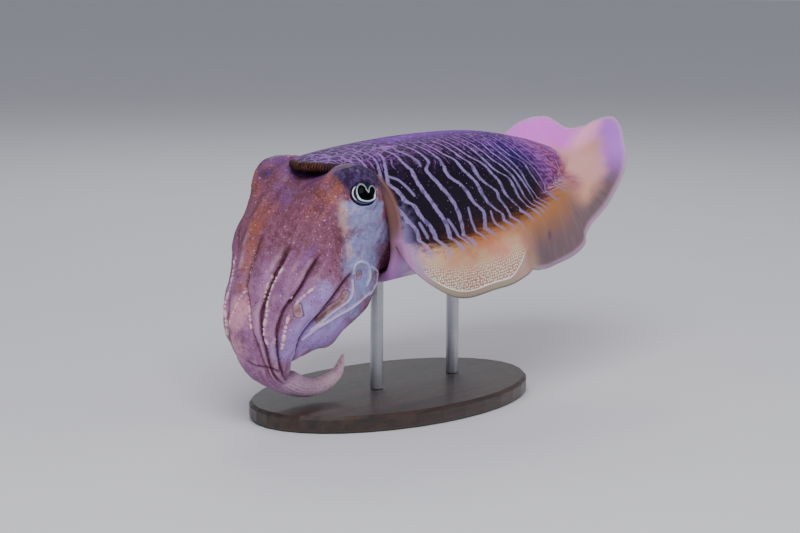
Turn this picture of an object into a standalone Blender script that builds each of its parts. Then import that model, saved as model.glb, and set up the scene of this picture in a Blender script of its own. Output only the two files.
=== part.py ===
"""A common cuttlefish as a still, life-size display model, swimming with its arms drooped.

Metres, +Z up. The animal faces -X, its left side is -Y, and the origin is the middle of the
underside of its stand. The body's own frame has x = 0 at the tip of the mantle's lobe over the
head, y = 0 in the middle plane and z = 0 just under the eyes, and in_world moves it over the stand.
"""

import math
import random

import bmesh
import bpy
from mathutils import Vector

MM = 0.001
# The gap between touching nodes, and the wider one that a cut leaves on a curved face
GAP = 0.3 * MM
CUT_GAP = 1.4 * GAP

# Where the animal's own frame stands over the stand
BODY_X = -62 * MM
BODY_Z = 104 * MM

# Mantle: back, flank, belly and fin line, as (place along the body, size) in millimetres
MANTLE_LENGTH = 184 * MM
MANTLE_BACK = ((0, 15.5), (22, 19.0), (54, 21.5), (85, 22.5), (118, 21.5), (147, 16.5), (170, 10.0),
               (184, 4.5))
MANTLE_BELLY = ((0, -46), (24, -44.5), (36, -42.5), (52, -41), (78, -39), (105, -32), (140, -20),
                (168, -7), (184, 3.0))
MANTLE_HALF_WIDTH = ((0, 35), (22, 39), (55, 43), (85, 42), (115, 36), (145, 26.5), (165, 21), (184, 17))
MANTLE_TAIL_FROM = 148
FIN_LINE = ((0, -19), (20, -20), (60, -21), (100, -16.5), (140, -8.5), (165, -2.0), (184, 3.5))
# How far back the front edge lies, by degrees from the back's middle line
MANTLE_RIM = ((0, 0.0), (12, 3.5), (24, 11.5), (38, 19), (60, 22.5), (90, 23.5), (120, 26), (150, 33),
              (180, 38))
MANTLE_WALL = 4 * MM
MANTLE_INNER_WALL = 6.5 * MM
RIM_ROLL = 1.2 * MM
COLLAR_FLOOR_X = 44 * MM
COLLAR_FLOOR_RISE = 5 * MM

# Fins: a skirt along each flank, with a notch between them behind
FIN_START = 22 * MM
FIN_ROOT_THICK = 2.4 * MM
FIN_EDGE_THICK = 0.8 * MM
FIN_WIDTHS = {
    "left": ((22, 4), (30, 16), (42, 25), (56, 29), (76, 27), (90, 22), (103, 29), (118, 32), (132, 31),
             (145, 27.5), (168, 27), (178, 30), (184, 28)),
    "right": ((22, 4), (30, 15), (42, 21), (60, 23), (82, 22), (100, 22), (128, 25), (150, 26),
              (174, 28), (184, 28)),
}
FIN_LIFTS = {
    "left": ((22, -60), (34, -76), (56, -80), (76, -74), (90, -60), (103, -76), (118, -78), (132, -68),
             (145, -46), (158, -36), (168, -24), (177, -2), (184, 53)),
    "right": ((22, -30), (45, 0), (70, 12), (95, -12), (120, -22), (145, 10), (162, 40), (174, 58),
              (184, 53)),
}

# Head: sections fan round a pivot under the throat, from the neck to the crown of arms
PIVOT_X = 38 * MM
PIVOT_Z = -48 * MM
NECK_TURN = 90
CROWN_TURN = 151
HEAD_NEAR = ((90, 11.5), (105, 10), (130, 11), (151, 12))
HEAD_FAR = ((90, 57), (104, 62), (118, 65), (132, 67), (151, 68))
HEAD_HALF_WIDTH = ((90, 33), (104, 32.5), (122, 31.5), (151, 31))
NECK_END_X = COLLAR_FLOOR_X - 2 * GAP

# Eyes
EYE_RADIUS = 8 * MM
EYE_SIDES = 14
EYE_RINGS = 9
EYE_X = 11.3 * MM
EYE_Y = 29.9 * MM
EYE_Z = 2.5 * MM
EYE_FORWARD = math.radians(32)
EYE_UP = math.radians(6)
LID_RADIUS = 6.4 * MM
LID_THICK = 1.3 * MM
LID_SIDES = 16
LID_RIM_SIDES = 6

# Arms: eight, as sectors round one drooping line that ends in a hook
ARM_LINE = ((-9.7, -51.4), (-15.5, -62.0), (-17.5, -72.0), (-12.0, -81.0), (-1.5, -86.5), (10.5, -87.5),
            (23.0, -82.5), (30.5, -73.0))
CROWN_STRAIGHT = 13.0
BUNDLE_THICK = ((0, 28), (14, 27.5), (28, 25), (38, 19.5), (47, 13.5), (58, 8.2), (69, 5.8), (84, 4.2),
                (103, 2.0))
BUNDLE_WIDE = ((0, 31), (14, 31.5), (28, 28), (38, 22), (47, 15), (58, 9), (69, 6), (84, 4.2), (103, 2.0))
KEEL_SWELL = ((0, 0.0), (10, 0.20), (22, 0.22), (34, 0.10), (44, 0.0))
KEEL_TURN = 140
ARM_BOUNDS = (0, 26, 52, 88, 180)
ARM_ENDS = {"left": (64, 59, 53, 49), "right": (102, 61, 55, 50)}
ARM_SIDES = 12
ARM_RINGS = 6
TIP_ROUND = 5.0
TIP_RINGS = 3
END_SLIT = 0.1
HOOKED_ARM = ("right", 0)
HOOK_FROM = 64
HOOK_TO = 76

# Suckers: two rows down the inner face of each arm, in turn
SUCKER_RADII = ((0, 1.15), (0.25, 1.45), (0.6, 1.1), (1.0, 0.5))
SUCKER_PAIRS = (4, 4, 3, 3)
SUCKER_ROW = 0.44
SUCKER_LEAN = 0.6
SUCKER_SIDES = 5
SUCKER_RINGS = ((0, -1.6), (1.0, 0.40), (0.62, 0.62), (0, 0.15))
SUCKER_SEED = 11
INNER_CORNERS = (8, 9)

# Stand
BASE_LENGTH = 160 * MM
BASE_WIDTH = 96 * MM
BASE_THICK = 8 * MM
BASE_BEVEL = 1.5 * MM
BASE_SIDES = 36
ROD_RADIUS = 3 * MM
ROD_SIDES = 16
ROD_CLEARANCE = GAP + 0.6 * MM
ROD_PLACES = {"front": 52 * MM, "rear": 104 * MM}


def clear_scene():
    """Removes the objects that a new Blender file starts with."""
    for found in list(bpy.data.objects):
        bpy.data.objects.remove(found)


def collection(name):
    """A new collection in the scene."""
    made = bpy.data.collections.new(name)
    bpy.context.scene.collection.children.link(made)
    return made


def material(name, colour, roughness, metallic=0.0):
    """A plain Principled material."""
    made = bpy.data.materials.new(name)
    made.use_nodes = True
    shader = made.node_tree.nodes["Principled BSDF"]
    shader.inputs["Base Color"].default_value = (*colour, 1)
    shader.inputs["Roughness"].default_value = roughness
    shader.inputs["Metallic"].default_value = metallic
    made.diffuse_color = (*colour, 1)
    return made


def in_world(point):
    """A point of the animal's own frame, moved over the stand."""
    return Vector((point[0] + BODY_X, point[1], point[2] + BODY_Z))


def smooth(share):
    """An ease from 0 to 1."""
    held = max(0.0, min(1.0, share))
    return held * held * (3 - 2 * held)


def mix(low, high, share):
    """The value or vector at a share of the way from low to high."""
    return low + (high - low) * share


def hermite(marks, values, place):
    """A smooth curve through values at marks, and its slope, both at a place."""
    held = max(marks[0], min(marks[-1], place))
    last = len(marks) - 2
    piece = max(k for k in range(last + 1) if marks[k] <= held)
    span = marks[piece + 1] - marks[piece]

    def lean(k):
        low, high = max(0, k - 1), min(last + 1, k + 1)
        return (values[high] - values[low]) / (marks[high] - marks[low])

    start, end = values[piece], values[piece + 1]
    lean_start, lean_end = lean(piece) * span, lean(piece + 1) * span
    one = (held - marks[piece]) / span
    two, three = one ** 2, one ** 3
    value = (start * (2 * three - 3 * two + 1) + lean_start * (three - 2 * two + one)
             + end * (3 * two - 2 * three) + lean_end * (three - two))
    slope = (start * (6 * two - 6 * one) + lean_start * (3 * two - 4 * one + 1)
             + end * (6 * one - 6 * two) + lean_end * (3 * two - 2 * one)) / span
    return value, slope


def through(place, keys):
    """A smooth curve through (place, value) keys, held flat outside them."""
    return hermite([key[0] for key in keys], [key[1] for key in keys], place)[0]


def rounded(angle, power):
    """Cosine and sine of a superellipse, whose corners fill out as power grows."""
    def bend(value):
        return math.copysign(abs(value) ** (2 / power), value)
    return bend(math.cos(angle)), bend(math.sin(angle))


def shaped_ball(name, home, finish, sides, rings, place):
    """A UV sphere with each vertex moved to place(ring, turn), and its faces turned outwards."""
    work = bmesh.new()
    bmesh.ops.create_uvsphere(work, u_segments=sides, v_segments=rings, radius=1)
    for vertex in work.verts:
        polar = math.acos(max(-1.0, min(1.0, vertex.co.z)))
        ring = round(polar / math.pi * rings)
        turn = math.atan2(vertex.co.y, vertex.co.x)
        vertex.co = in_world(place(ring, turn))
    if work.calc_volume(signed=True) < 0:
        bmesh.ops.reverse_faces(work, faces=work.faces)
    mesh = bpy.data.meshes.new(name)
    work.to_mesh(mesh)
    work.free()
    return add_object(name, home, finish, mesh)


def add_object(name, home, finish, mesh):
    """An object for a finished mesh, shaded smooth."""
    mesh.materials.append(finish)
    mesh.shade_smooth()
    made = bpy.data.objects.new(name, mesh)
    home.objects.link(made)
    return made


def boolean(body, operation, operand, solver="EXACT"):
    """Applies one Boolean of an object or a whole collection to the body."""
    modifier = body.modifiers.new(operation.lower(), "BOOLEAN")
    modifier.operation = operation
    modifier.solver = solver
    if isinstance(operand, bpy.types.Collection):
        modifier.operand_type = "COLLECTION"
        modifier.collection = operand
    else:
        modifier.object = operand
    graph = bpy.context.evaluated_depsgraph_get()
    mesh = bpy.data.meshes.new_from_object(body.evaluated_get(graph))
    body.modifiers.clear()
    body.data = mesh


def fuse(body, pieces, solver="MANIFOLD"):
    """Joins the pieces of a collection to the body and keeps the largest closed surface."""
    boolean(body, "UNION", pieces, solver)
    for piece in list(pieces.objects):
        bpy.data.objects.remove(piece)
    bpy.data.collections.remove(pieces)
    keep_largest(body)


def grown(source, amount, home):
    """A copy of a solid with its surface moved out, which cuts its neighbour clear of it."""
    work = bmesh.new()
    work.from_mesh(source.data)
    work.normal_update()
    places = [vertex.co + vertex.normal * amount for vertex in work.verts]
    for vertex, place in zip(work.verts, places):
        vertex.co = place
    mesh = bpy.data.meshes.new("grown")
    work.to_mesh(mesh)
    work.free()
    copy = bpy.data.objects.new("grown", mesh)
    home.objects.link(copy)
    return copy


def keep_largest(body):
    """Drops every loose surface of the body but its largest."""
    work = bmesh.new()
    work.from_mesh(body.data)
    left = set(work.verts)
    groups = []
    while left:
        spread = [left.pop()]
        group = set(spread)
        while spread:
            for edge in spread.pop().link_edges:
                for vertex in edge.verts:
                    if vertex in left:
                        left.discard(vertex)
                        group.add(vertex)
                        spread.append(vertex)
        groups.append(group)
    groups.sort(key=len)
    loose = [vertex for group in groups[:-1] for vertex in group]
    bmesh.ops.delete(work, geom=loose, context="VERTS")
    work.to_mesh(body.data)
    work.free()


# Mantle

MANTLE_SIDES = 28
MANTLE_FRONT_RINGS = 6
MANTLE_RINGS = 23
MANTLE_POWER = 2.25


def rim_x(turn):
    """How far back the mantle's front edge lies at a turn from the back's middle line."""
    return through(abs(math.degrees(turn)), MANTLE_RIM) * MM


def fin_level(x):
    """Height of the widest level of the mantle, where the fins grow."""
    return through(x / MM, FIN_LINE) * MM


def mantle_section(x, turn, shrink=0.0):
    """The mantle's outside at x and a turn from the back's middle line, less a wall."""
    place = x / MM
    up, side = rounded(turn, MANTLE_POWER)
    level = fin_level(x)
    edge = through(place, MANTLE_BACK if up > 0 else MANTLE_BELLY) * MM
    height = max(0.0, abs(edge - level) - shrink)
    tail = max(0.0, (place - MANTLE_TAIL_FROM) / (MANTLE_LENGTH / MM - MANTLE_TAIL_FROM))
    round_off = math.sqrt(max(0.0, 1 - tail ** 2))
    half = max(0.0, through(place, MANTLE_HALF_WIDTH) * MM * round_off - shrink)
    return Vector((x, -half * side, level + height * up))


def mantle_x(ring, turn):
    """Where a ring of the mantle's outside lies, closer together towards the tail."""
    share = (ring - MANTLE_FRONT_RINGS) / (MANTLE_RINGS - MANTLE_FRONT_RINGS)
    start = rim_x(turn) + RIM_ROLL
    return start + (MANTLE_LENGTH - start) * math.sin(share * math.pi / 2) ** 1.1


def mantle_place(ring, turn):
    """Collar floor, inner wall, rim and outside of the mantle, ring by ring."""
    rim = rim_x(turn)
    floor = Vector((COLLAR_FLOOR_X, 0, fin_level(COLLAR_FLOOR_X) + COLLAR_FLOOR_RISE))
    if ring == 0:
        return floor
    if ring == 1:
        return mix(mantle_section(COLLAR_FLOOR_X, turn, MANTLE_INNER_WALL), floor, 0.4)
    if ring < MANTLE_FRONT_RINGS - 1:
        share = (ring - 2) / 2
        x = mix(COLLAR_FLOOR_X, rim + MANTLE_WALL * 0.6, share)
        return mantle_section(x, turn, mix(MANTLE_INNER_WALL, MANTLE_WALL * 0.9, share))
    if ring == MANTLE_FRONT_RINGS - 1:
        return mantle_section(rim, turn, MANTLE_WALL * 0.5)
    if ring == MANTLE_FRONT_RINGS:
        return mantle_section(rim + RIM_ROLL, turn, RIM_ROLL / 2)
    if ring == MANTLE_RINGS:
        return Vector((MANTLE_LENGTH, 0, fin_level(MANTLE_LENGTH)))
    return mantle_section(mantle_x(ring, turn), turn)


def make_mantle(home, finish):
    return shaped_ball("mantle", home, finish, MANTLE_SIDES, MANTLE_RINGS, mantle_place)


# Fins

FIN_STEPS = 30
FIN_ROWS = 5
FIN_BEND = 0.45
FIN_BEND_STEPS = 8
FIN_CLEARANCE = GAP + 0.35 * MM


def fin_root(share):
    """A point of the line on the left flank where the fin grows, at a share of its run."""
    x = FIN_START + (MANTLE_LENGTH - 0.05 * MM - FIN_START) * math.sin(share * math.pi / 2) ** 1.15
    return mantle_section(x, math.pi / 2)


def fin_outward(share):
    """The level direction in which the left fin grows, square to its root line."""
    along = fin_root(min(1.0, share + 0.012)) - fin_root(max(0.0, share - 0.012))
    flat = Vector((along.x, along.y, 0)).normalized()
    return Vector((flat.y, -flat.x, 0))


def fin_point(share, across, which):
    """A point of the middle surface of the left or right fin, rounded off by the notch behind."""
    root = fin_root(share)
    out = fin_outward(share)
    lift = math.radians(through(root.x / MM, FIN_LIFTS[which]))
    near_notch = max(0.0, (share - 0.92) / 0.08)
    width = through(root.x / MM, FIN_WIDTHS[which]) * MM * (0.72 + 0.28 * math.sqrt(1 - near_notch ** 2))
    reach, rise = FIN_CLEARANCE, 0.0
    for step in range(FIN_BEND_STEPS):
        place = (step + 0.5) / FIN_BEND_STEPS
        slope = lift * smooth(place / FIN_BEND)
        part = width / FIN_BEND_STEPS * max(0.0, min(1.0, across * FIN_BEND_STEPS - step))
        reach += part * math.cos(slope)
        rise += part * math.sin(slope)
    point = root + out * reach
    return Vector((point.x, point.y if which == "left" else -point.y, point.z + rise))


def make_fin(home, finish, which):
    """A sheet that thins to its edge, split into triangles alike on both faces."""
    work = bmesh.new()
    bmesh.ops.create_grid(work, x_segments=FIN_STEPS, y_segments=FIN_ROWS, size=1)
    thick = {}
    for vertex in work.verts:
        share = (vertex.co.x + 1) / 2
        across = (vertex.co.y + 1) / 2
        thick[vertex.index] = mix(FIN_ROOT_THICK, FIN_EDGE_THICK, across ** 0.7) / FIN_ROOT_THICK
        vertex.co = in_world(fin_point(mix(0.0, 0.99, share), across, which))
    bmesh.ops.triangulate(work, faces=work.faces)
    mesh = bpy.data.meshes.new("fin")
    work.to_mesh(mesh)
    work.free()
    fin = add_object(f"fin_{which}", home, finish, mesh)
    group = fin.vertex_groups.new(name="thickness")
    for index, weight in thick.items():
        group.add([index], weight, "REPLACE")
    sheet = fin.modifiers.new("thickness", "SOLIDIFY")
    sheet.thickness = FIN_ROOT_THICK
    sheet.offset = 0
    sheet.vertex_group = "thickness"
    return fin


# Head

HEAD_SIDES = 28
HEAD_RINGS = 20
HEAD_MOUTH_RINGS = 5
HEAD_POWER = 2.3
LIPS = ((0.0, 0.0), (0.08, 0.0), (0.16, 3.5), (0.24, 3.5), (0.30, 0.0))


def fan_point(degrees, reach, y):
    """A point at a turn and reach from the pivot under the throat."""
    turn = math.radians(degrees)
    return Vector((PIVOT_X + reach * math.cos(turn), y, PIVOT_Z + reach * math.sin(turn)))


def hill(value, middle, spread):
    """A smooth bump of height 1."""
    return math.exp(-((value - middle) / spread) ** 2)


def head_surface(degrees, angle):
    """The head's skin at a turn of the fan and an angle from the crest, with brows and eye bulges.

    Each hill is given by its middle and spread, first in the angle and then in the turn.
    """
    near = through(degrees, HEAD_NEAR) * MM
    far = through(degrees, HEAD_FAR) * MM
    up, side = rounded(angle, HEAD_POWER)
    reach = (near + far) / 2 + (far - near) / 2 * up
    y = -through(degrees, HEAD_HALF_WIDTH) * MM * side
    off = abs(math.degrees(angle))
    brow = hill(off, 41, 21) * hill(degrees, 121, 15)
    eye = hill(off, 64, 25) * hill(degrees, 123, 15)
    saddle = hill(off, 0, 15) * hill(degrees, 116, 17)
    reach += (8.5 * brow + 2.5 * eye - 1.5 * saddle) * MM
    y += math.copysign((5.5 * brow + 6.0 * eye) * MM, y)
    return fan_point(degrees, reach, y)


def head_place(ring, turn):
    """Mouth, lips, crown face, then back over the head to the neck's end in the collar."""
    if ring < HEAD_MOUTH_RINGS:
        share, rise = LIPS[ring]
        return bundle_point(0.0, share, turn, rise * MM)
    if ring >= HEAD_RINGS - 1:
        middle = (through(NECK_TURN, HEAD_NEAR) + through(NECK_TURN, HEAD_FAR)) / 2 * MM
        end = fan_point(NECK_TURN, middle, 0)
        edge = head_surface(NECK_TURN, turn) if ring < HEAD_RINGS else end
        return Vector((NECK_END_X, edge.y, edge.z))
    share = (ring - HEAD_MOUTH_RINGS) / (HEAD_RINGS - 2 - HEAD_MOUTH_RINGS)
    return head_surface(mix(CROWN_TURN, NECK_TURN, share), turn)


def eye_axis(side):
    """The direction in which an eye looks."""
    level = math.cos(EYE_UP)
    return Vector((-math.sin(EYE_FORWARD) * level, side * math.cos(EYE_FORWARD) * level, math.sin(EYE_UP)))


def eye_centre(side):
    return in_world(Vector((EYE_X, side * EYE_Y, EYE_Z)))


def make_eye(name, home, finish, side, radius):
    """A ball at an eye's place, with its poles on the line that the eye looks along."""
    work = bmesh.new()
    bmesh.ops.create_uvsphere(work, u_segments=EYE_SIDES, v_segments=EYE_RINGS, radius=radius)
    mesh = bpy.data.meshes.new(name)
    work.to_mesh(mesh)
    work.free()
    ball = add_object(name, home, finish, mesh)
    ball.location = eye_centre(side)
    ball.rotation_euler = eye_axis(side).to_track_quat("Z", "Y").to_euler()
    bpy.context.view_layer.update()
    return ball


def make_lid(name, home, finish, side):
    """A rounded fold of skin round an eye's opening."""
    bpy.ops.mesh.primitive_torus_add(
        major_segments=LID_SIDES, minor_segments=LID_RIM_SIDES,
        major_radius=LID_RADIUS, minor_radius=LID_THICK)
    lid = bpy.context.object
    lid.name = name
    lid.data.materials.append(finish)
    axis = eye_axis(side)
    depth = math.sqrt(EYE_RADIUS ** 2 - LID_RADIUS ** 2)
    lid.location = eye_centre(side) + axis * depth
    lid.rotation_euler = axis.to_track_quat("Z", "Y").to_euler()
    for found in list(lid.users_collection):
        found.objects.unlink(lid)
    home.objects.link(lid)
    return lid


def make_head(home, finish, cutters, neighbours):
    """The head, cut clear of the mantle and funnel, with lids joined on and a socket for each eye."""
    head = shaped_ball("head", home, finish, HEAD_SIDES, HEAD_RINGS, head_place)
    for neighbour in neighbours:
        cutter = grown(neighbour, CUT_GAP, cutters)
        boolean(head, "DIFFERENCE", cutter, "MANIFOLD")
        bpy.data.objects.remove(cutter)
    lids = collection("lids")
    for side in (-1, 1):
        make_lid(f"lid_{side}", lids, finish, side)
    fuse(head, lids)
    for side in (-1, 1):
        socket = make_eye("socket", cutters, finish, side, EYE_RADIUS + GAP)
        boolean(head, "DIFFERENCE", socket, "MANIFOLD")
        bpy.data.objects.remove(socket)
    keep_largest(head)
    return head


# Arms

def line_points():
    """The drooping line's points in millimetres: it leaves the crown square, then follows ARM_LINE."""
    middle = (through(CROWN_TURN, HEAD_NEAR) + through(CROWN_TURN, HEAD_FAR)) / 2
    start = fan_point(CROWN_TURN, middle * MM, 0) / MM
    turn = math.radians(CROWN_TURN)
    square = Vector((-math.sin(turn), 0, math.cos(turn)))
    return [start, start + square * CROWN_STRAIGHT] + [Vector((x, 0, z)) for x, z in ARM_LINE]


def line_marks(points):
    """How far along the drooping line each of its points lies, in millimetres."""
    marks = [0.0]
    for here, there in zip(points, points[1:]):
        marks.append(marks[-1] + (there - here).length)
    return marks


LINE_POINTS = line_points()
LINE_MARKS = line_marks(LINE_POINTS)


def bundle_frame(place):
    """Point, outward normal and direction of the bundle's middle line at a place in millimetres."""
    point, line = hermite(LINE_MARKS, LINE_POINTS, place)
    line = line.normalized()
    return point * MM, Vector((line.z, 0, -line.x)), line


def bundle_point(place, share, turn, ahead=0.0):
    """A point of the bundle: share of its half width, at a turn from its front, moved ahead."""
    point, normal, line = bundle_frame(place)
    thick = through(place, BUNDLE_THICK) * MM
    wide = through(place, BUNDLE_WIDE) * MM
    off = (abs(math.degrees(turn)) + 180) % 360 - 180
    share *= 1 + through(place, KEEL_SWELL) * hill(abs(off), KEEL_TURN, 30)
    ahead_share, side_share = rounded(turn, HEAD_POWER)
    over = normal * (thick * share * ahead_share) - Vector((0, wide * share * side_share, 0))
    return point + over + line * ahead


# Outline of an arm's section: (share of the way across its sector, share of the bundle's half width)
ARM_OUTLINE = ((-1.0, 0.84), (-0.72, 0.96), (-0.25, 1.0), (0.25, 1.0), (0.72, 0.96), (1.0, 0.84),
               (1.0, 0.62), (0.9, 0.42), (0.45, 0.36), (-0.45, 0.36), (-0.9, 0.42), (-1.0, 0.62))


def arm_sector(side, number):
    """Middle turn and half spread of an arm's sector. Turns grow from the front to the left."""
    low, high = ARM_BOUNDS[number], ARM_BOUNDS[number + 1]
    middle = math.radians((low + high) / 2)
    return (middle if side == "left" else -middle), math.radians((high - low) / 2)


def arm_section(side, number, place, corner):
    """A corner of an arm's section at a place along the bundle, and the section's middle."""
    middle, spread = arm_sector(side, number)
    across, share = ARM_OUTLINE[corner]
    size = min(through(place, BUNDLE_THICK), through(place, BUNDLE_WIDE)) * MM
    slit = min(0.8, 0.9 * GAP / (size * share) / spread)
    point = bundle_point(place, share, middle + across * spread * (1 - slit))
    centre = bundle_point(place, 0.68, middle)
    if (side, number) == HOOKED_ARM:
        free = smooth((place - HOOK_FROM) / (HOOK_TO - HOOK_FROM))
        round_turn = middle + (corner - 2.5) / ARM_SIDES * 2 * math.pi
        point = mix(point, bundle_point(place, 1.0, round_turn), free)
        centre = mix(centre, bundle_point(place, 0.0, 0.0), free)
    return point, centre


def arm_skin(side, number, place, corner):
    """A corner of an arm's skin, drawn in towards the middle where the tip rounds off."""
    point, centre = arm_section(side, number, place, corner)
    end = ARM_ENDS[side][number]
    over = max(0.0, min(1.0, (place - end + TIP_ROUND) / TIP_ROUND))
    return mix(point, centre, 1 - math.sqrt(1 - over ** 2))


def arm_cuts(end):
    """The places where an arm is parted into its lengths."""
    shares = (0.0, 0.30, 0.55, 0.78, 1.0) if end > 80 else (0.0, 0.40, 0.72, 1.0)
    return [share * end for share in shares]


def make_arm_length(name, home, finish, side, number, start, stop):
    """One length of an arm: flat ends, and a rounded tip where it is the last."""
    is_tip = stop == ARM_ENDS[side][number]
    straight = stop - TIP_ROUND if is_tip else stop - END_SLIT
    tip_rings = TIP_RINGS if is_tip else 0
    rings = ARM_RINGS + tip_rings + 1
    first = start + GAP / MM

    def station(ring):
        if ring <= ARM_RINGS:
            return mix(first, straight, (ring - 1) / (ARM_RINGS - 1))
        return straight + TIP_ROUND * math.sin((ring - ARM_RINGS) / (TIP_RINGS + 1) * math.pi / 2)

    def place(ring, turn):
        if ring == 0:
            return arm_section(side, number, first, 0)[1]
        if ring == rings:
            return arm_section(side, number, stop if is_tip else straight, 0)[1]
        corner = round(turn / (2 * math.pi) * ARM_SIDES) % ARM_SIDES
        return arm_skin(side, number, station(ring), corner)

    return shaped_ball(name, home, finish, ARM_SIDES, rings, place)


def make_sucker(home, finish, middle, axis, radius):
    """A short cup: a stalk that is sunk in the arm, a rim and a hollow."""
    turned = axis.to_track_quat("Z", "Y")

    def place(ring, turn):
        width, height = SUCKER_RINGS[ring]
        return middle + turned @ Vector((width * math.cos(turn), width * math.sin(turn), height)) * radius

    shaped_ball("sucker", home, finish, SUCKER_SIDES, len(SUCKER_RINGS) - 1, place)


def suckers_of(finish, side, number, start, stop, pairs, draw):
    """Two rows of suckers, set in turn, on the inner face of one length of an arm."""
    home = collection("suckers")
    end = ARM_ENDS[side][number]
    first = start + 1.8
    last = min(stop - 1.6, end - TIP_ROUND * 0.35)
    for count in range(2 * pairs):
        place = mix(first, last, (count + 0.5) / (2 * pairs))
        inner = [arm_skin(side, number, place, corner) for corner in INNER_CORNERS]
        row = SUCKER_ROW if count % 2 else -SUCKER_ROW
        middle = mix(inner[0], inner[1], 0.5 + row)
        lean = mix(inner[0], inner[1], 0.5 + row * SUCKER_LEAN)
        axis = (lean - arm_section(side, number, place, 0)[1]).normalized()
        radius = through(place / end, SUCKER_RADII) * MM * draw.uniform(0.93, 1.07)
        make_sucker(home, finish, middle, axis, radius)
    return home


def make_arms(home, finish):
    """Eight arms, each in lengths that meet end to end, with their suckers joined on."""
    draw = random.Random(SUCKER_SEED)
    for side, ends in ARM_ENDS.items():
        for number, end in enumerate(ends):
            cuts = arm_cuts(end)
            for count, (start, stop) in enumerate(zip(cuts, cuts[1:])):
                name = f"arm_{side}_{number + 1}_{'abcd'[count]}"
                arm = make_arm_length(name, home, finish, side, number, start, stop)
                pairs = SUCKER_PAIRS[count]
                fuse(arm, suckers_of(finish, side, number, start, stop, pairs, draw))


# Funnel

FUNNEL_SIDES = 12
# The middle line, in millimetres of the body's own frame
FUNNEL_LINE = ((43.6, -31.0), (38.0, -32.6), (33.0, -38.6), (30.6, -47.0))
# Rings as (place along the line, radius in millimetres): outside to the mouth, then back inside
FUNNEL_RINGS = ((0, 4.0), (5, 4.1), (9, 4.0), (13, 3.8), (17, 3.5), (20, 3.3), (20, 2.6), (16, 2.6))


def funnel_place(ring, turn):
    """A ring of the funnel, or the middle of its root or of its inner end."""
    points = [Vector((x, 0, z)) for x, z in FUNNEL_LINE]
    place, radius = FUNNEL_RINGS[max(0, min(len(FUNNEL_RINGS), ring) - 1)]
    if ring in (0, len(FUNNEL_RINGS) + 1):
        radius = 0
    point, line = hermite(line_marks(points), points, place)
    line = line.normalized() if place else Vector((-1, 0, 0))
    across = Vector((line.z, 0, -line.x)) * math.cos(turn) - Vector((0, math.sin(turn), 0))
    return (point + across * radius) * MM


def make_funnel(home, finish):
    return shaped_ball("funnel", home, finish, FUNNEL_SIDES, len(FUNNEL_RINGS) + 1, funnel_place)


# Stand

def make_base(home, finish):
    """An oval plate with a rounded top edge."""
    work = bmesh.new()
    bmesh.ops.create_cone(work, cap_ends=True, segments=BASE_SIDES, radius1=0.5, radius2=0.5,
                          depth=BASE_THICK)
    for vertex in work.verts:
        vertex.co.x *= BASE_LENGTH
        vertex.co.y *= BASE_WIDTH
        vertex.co.z += BASE_THICK / 2
    mesh = bpy.data.meshes.new("stand_base")
    work.to_mesh(mesh)
    work.free()
    base = add_object("stand_base", home, finish, mesh)
    edge = base.modifiers.new("edge", "BEVEL")
    edge.width = BASE_BEVEL
    edge.segments = 1
    edge.limit_method = "ANGLE"
    edge.angle_limit = math.radians(60)
    return base


def belly_level(x):
    """World height of the mantle's underside over the stand's middle line."""
    return through((x - BODY_X) / MM, MANTLE_BELLY) * MM + BODY_Z


def make_rod(name, home, finish, place):
    """A round rod from the base up to the belly."""
    x = place + BODY_X
    bottom = BASE_THICK + GAP
    top = belly_level(x) - ROD_CLEARANCE
    work = bmesh.new()
    bmesh.ops.create_cone(work, cap_ends=True, segments=ROD_SIDES, radius1=ROD_RADIUS, radius2=ROD_RADIUS,
                          depth=top - bottom)
    for vertex in work.verts:
        vertex.co.x += x
        vertex.co.z += (top + bottom) / 2
    mesh = bpy.data.meshes.new(name)
    work.to_mesh(mesh)
    work.free()
    return add_object(name, home, finish, mesh)


def main():
    clear_scene()
    home = collection("common_cuttlefish")
    cutters = collection("cutters")
    back = material("mantle_back", (0.16, 0.10, 0.20), 0.5)
    flesh = material("head_flesh", (0.52, 0.34, 0.38), 0.5)
    limb = material("arm_flesh", (0.55, 0.38, 0.42), 0.5)
    sheer = material("fin_flesh", (0.72, 0.52, 0.46), 0.45)
    iris = material("eye", (0.05, 0.06, 0.08), 0.1)
    steel = material("stand_steel", (0.60, 0.60, 0.62), 0.3, 1.0)
    board = material("stand_board", (0.05, 0.05, 0.06), 0.4)
    mantle = make_mantle(home, back)
    for which in FIN_LIFTS:
        make_fin(home, sheer, which)
    funnel = make_funnel(home, limb)
    make_head(home, flesh, cutters, (mantle, funnel))
    for name, side in (("left", -1), ("right", 1)):
        make_eye(f"eye_{name}", home, iris, side, EYE_RADIUS)
    make_arms(home, limb)
    make_base(home, board)
    for name, place in ROD_PLACES.items():
        make_rod(f"stand_rod_{name}", home, steel, place)


if __name__ == "__main__":
    main()
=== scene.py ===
"""Dresses the common cuttlefish model: living skins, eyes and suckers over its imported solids.

The body's own frame is in millimetres: x runs back from the tip of the mantle's lobe, y = 0 is the
middle plane with the left side at -y, and z = 0 is just under the eyes. in_world moves it over the
stand and into metres. The same named sizes as the solids' source give the same surfaces here.
"""

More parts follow.
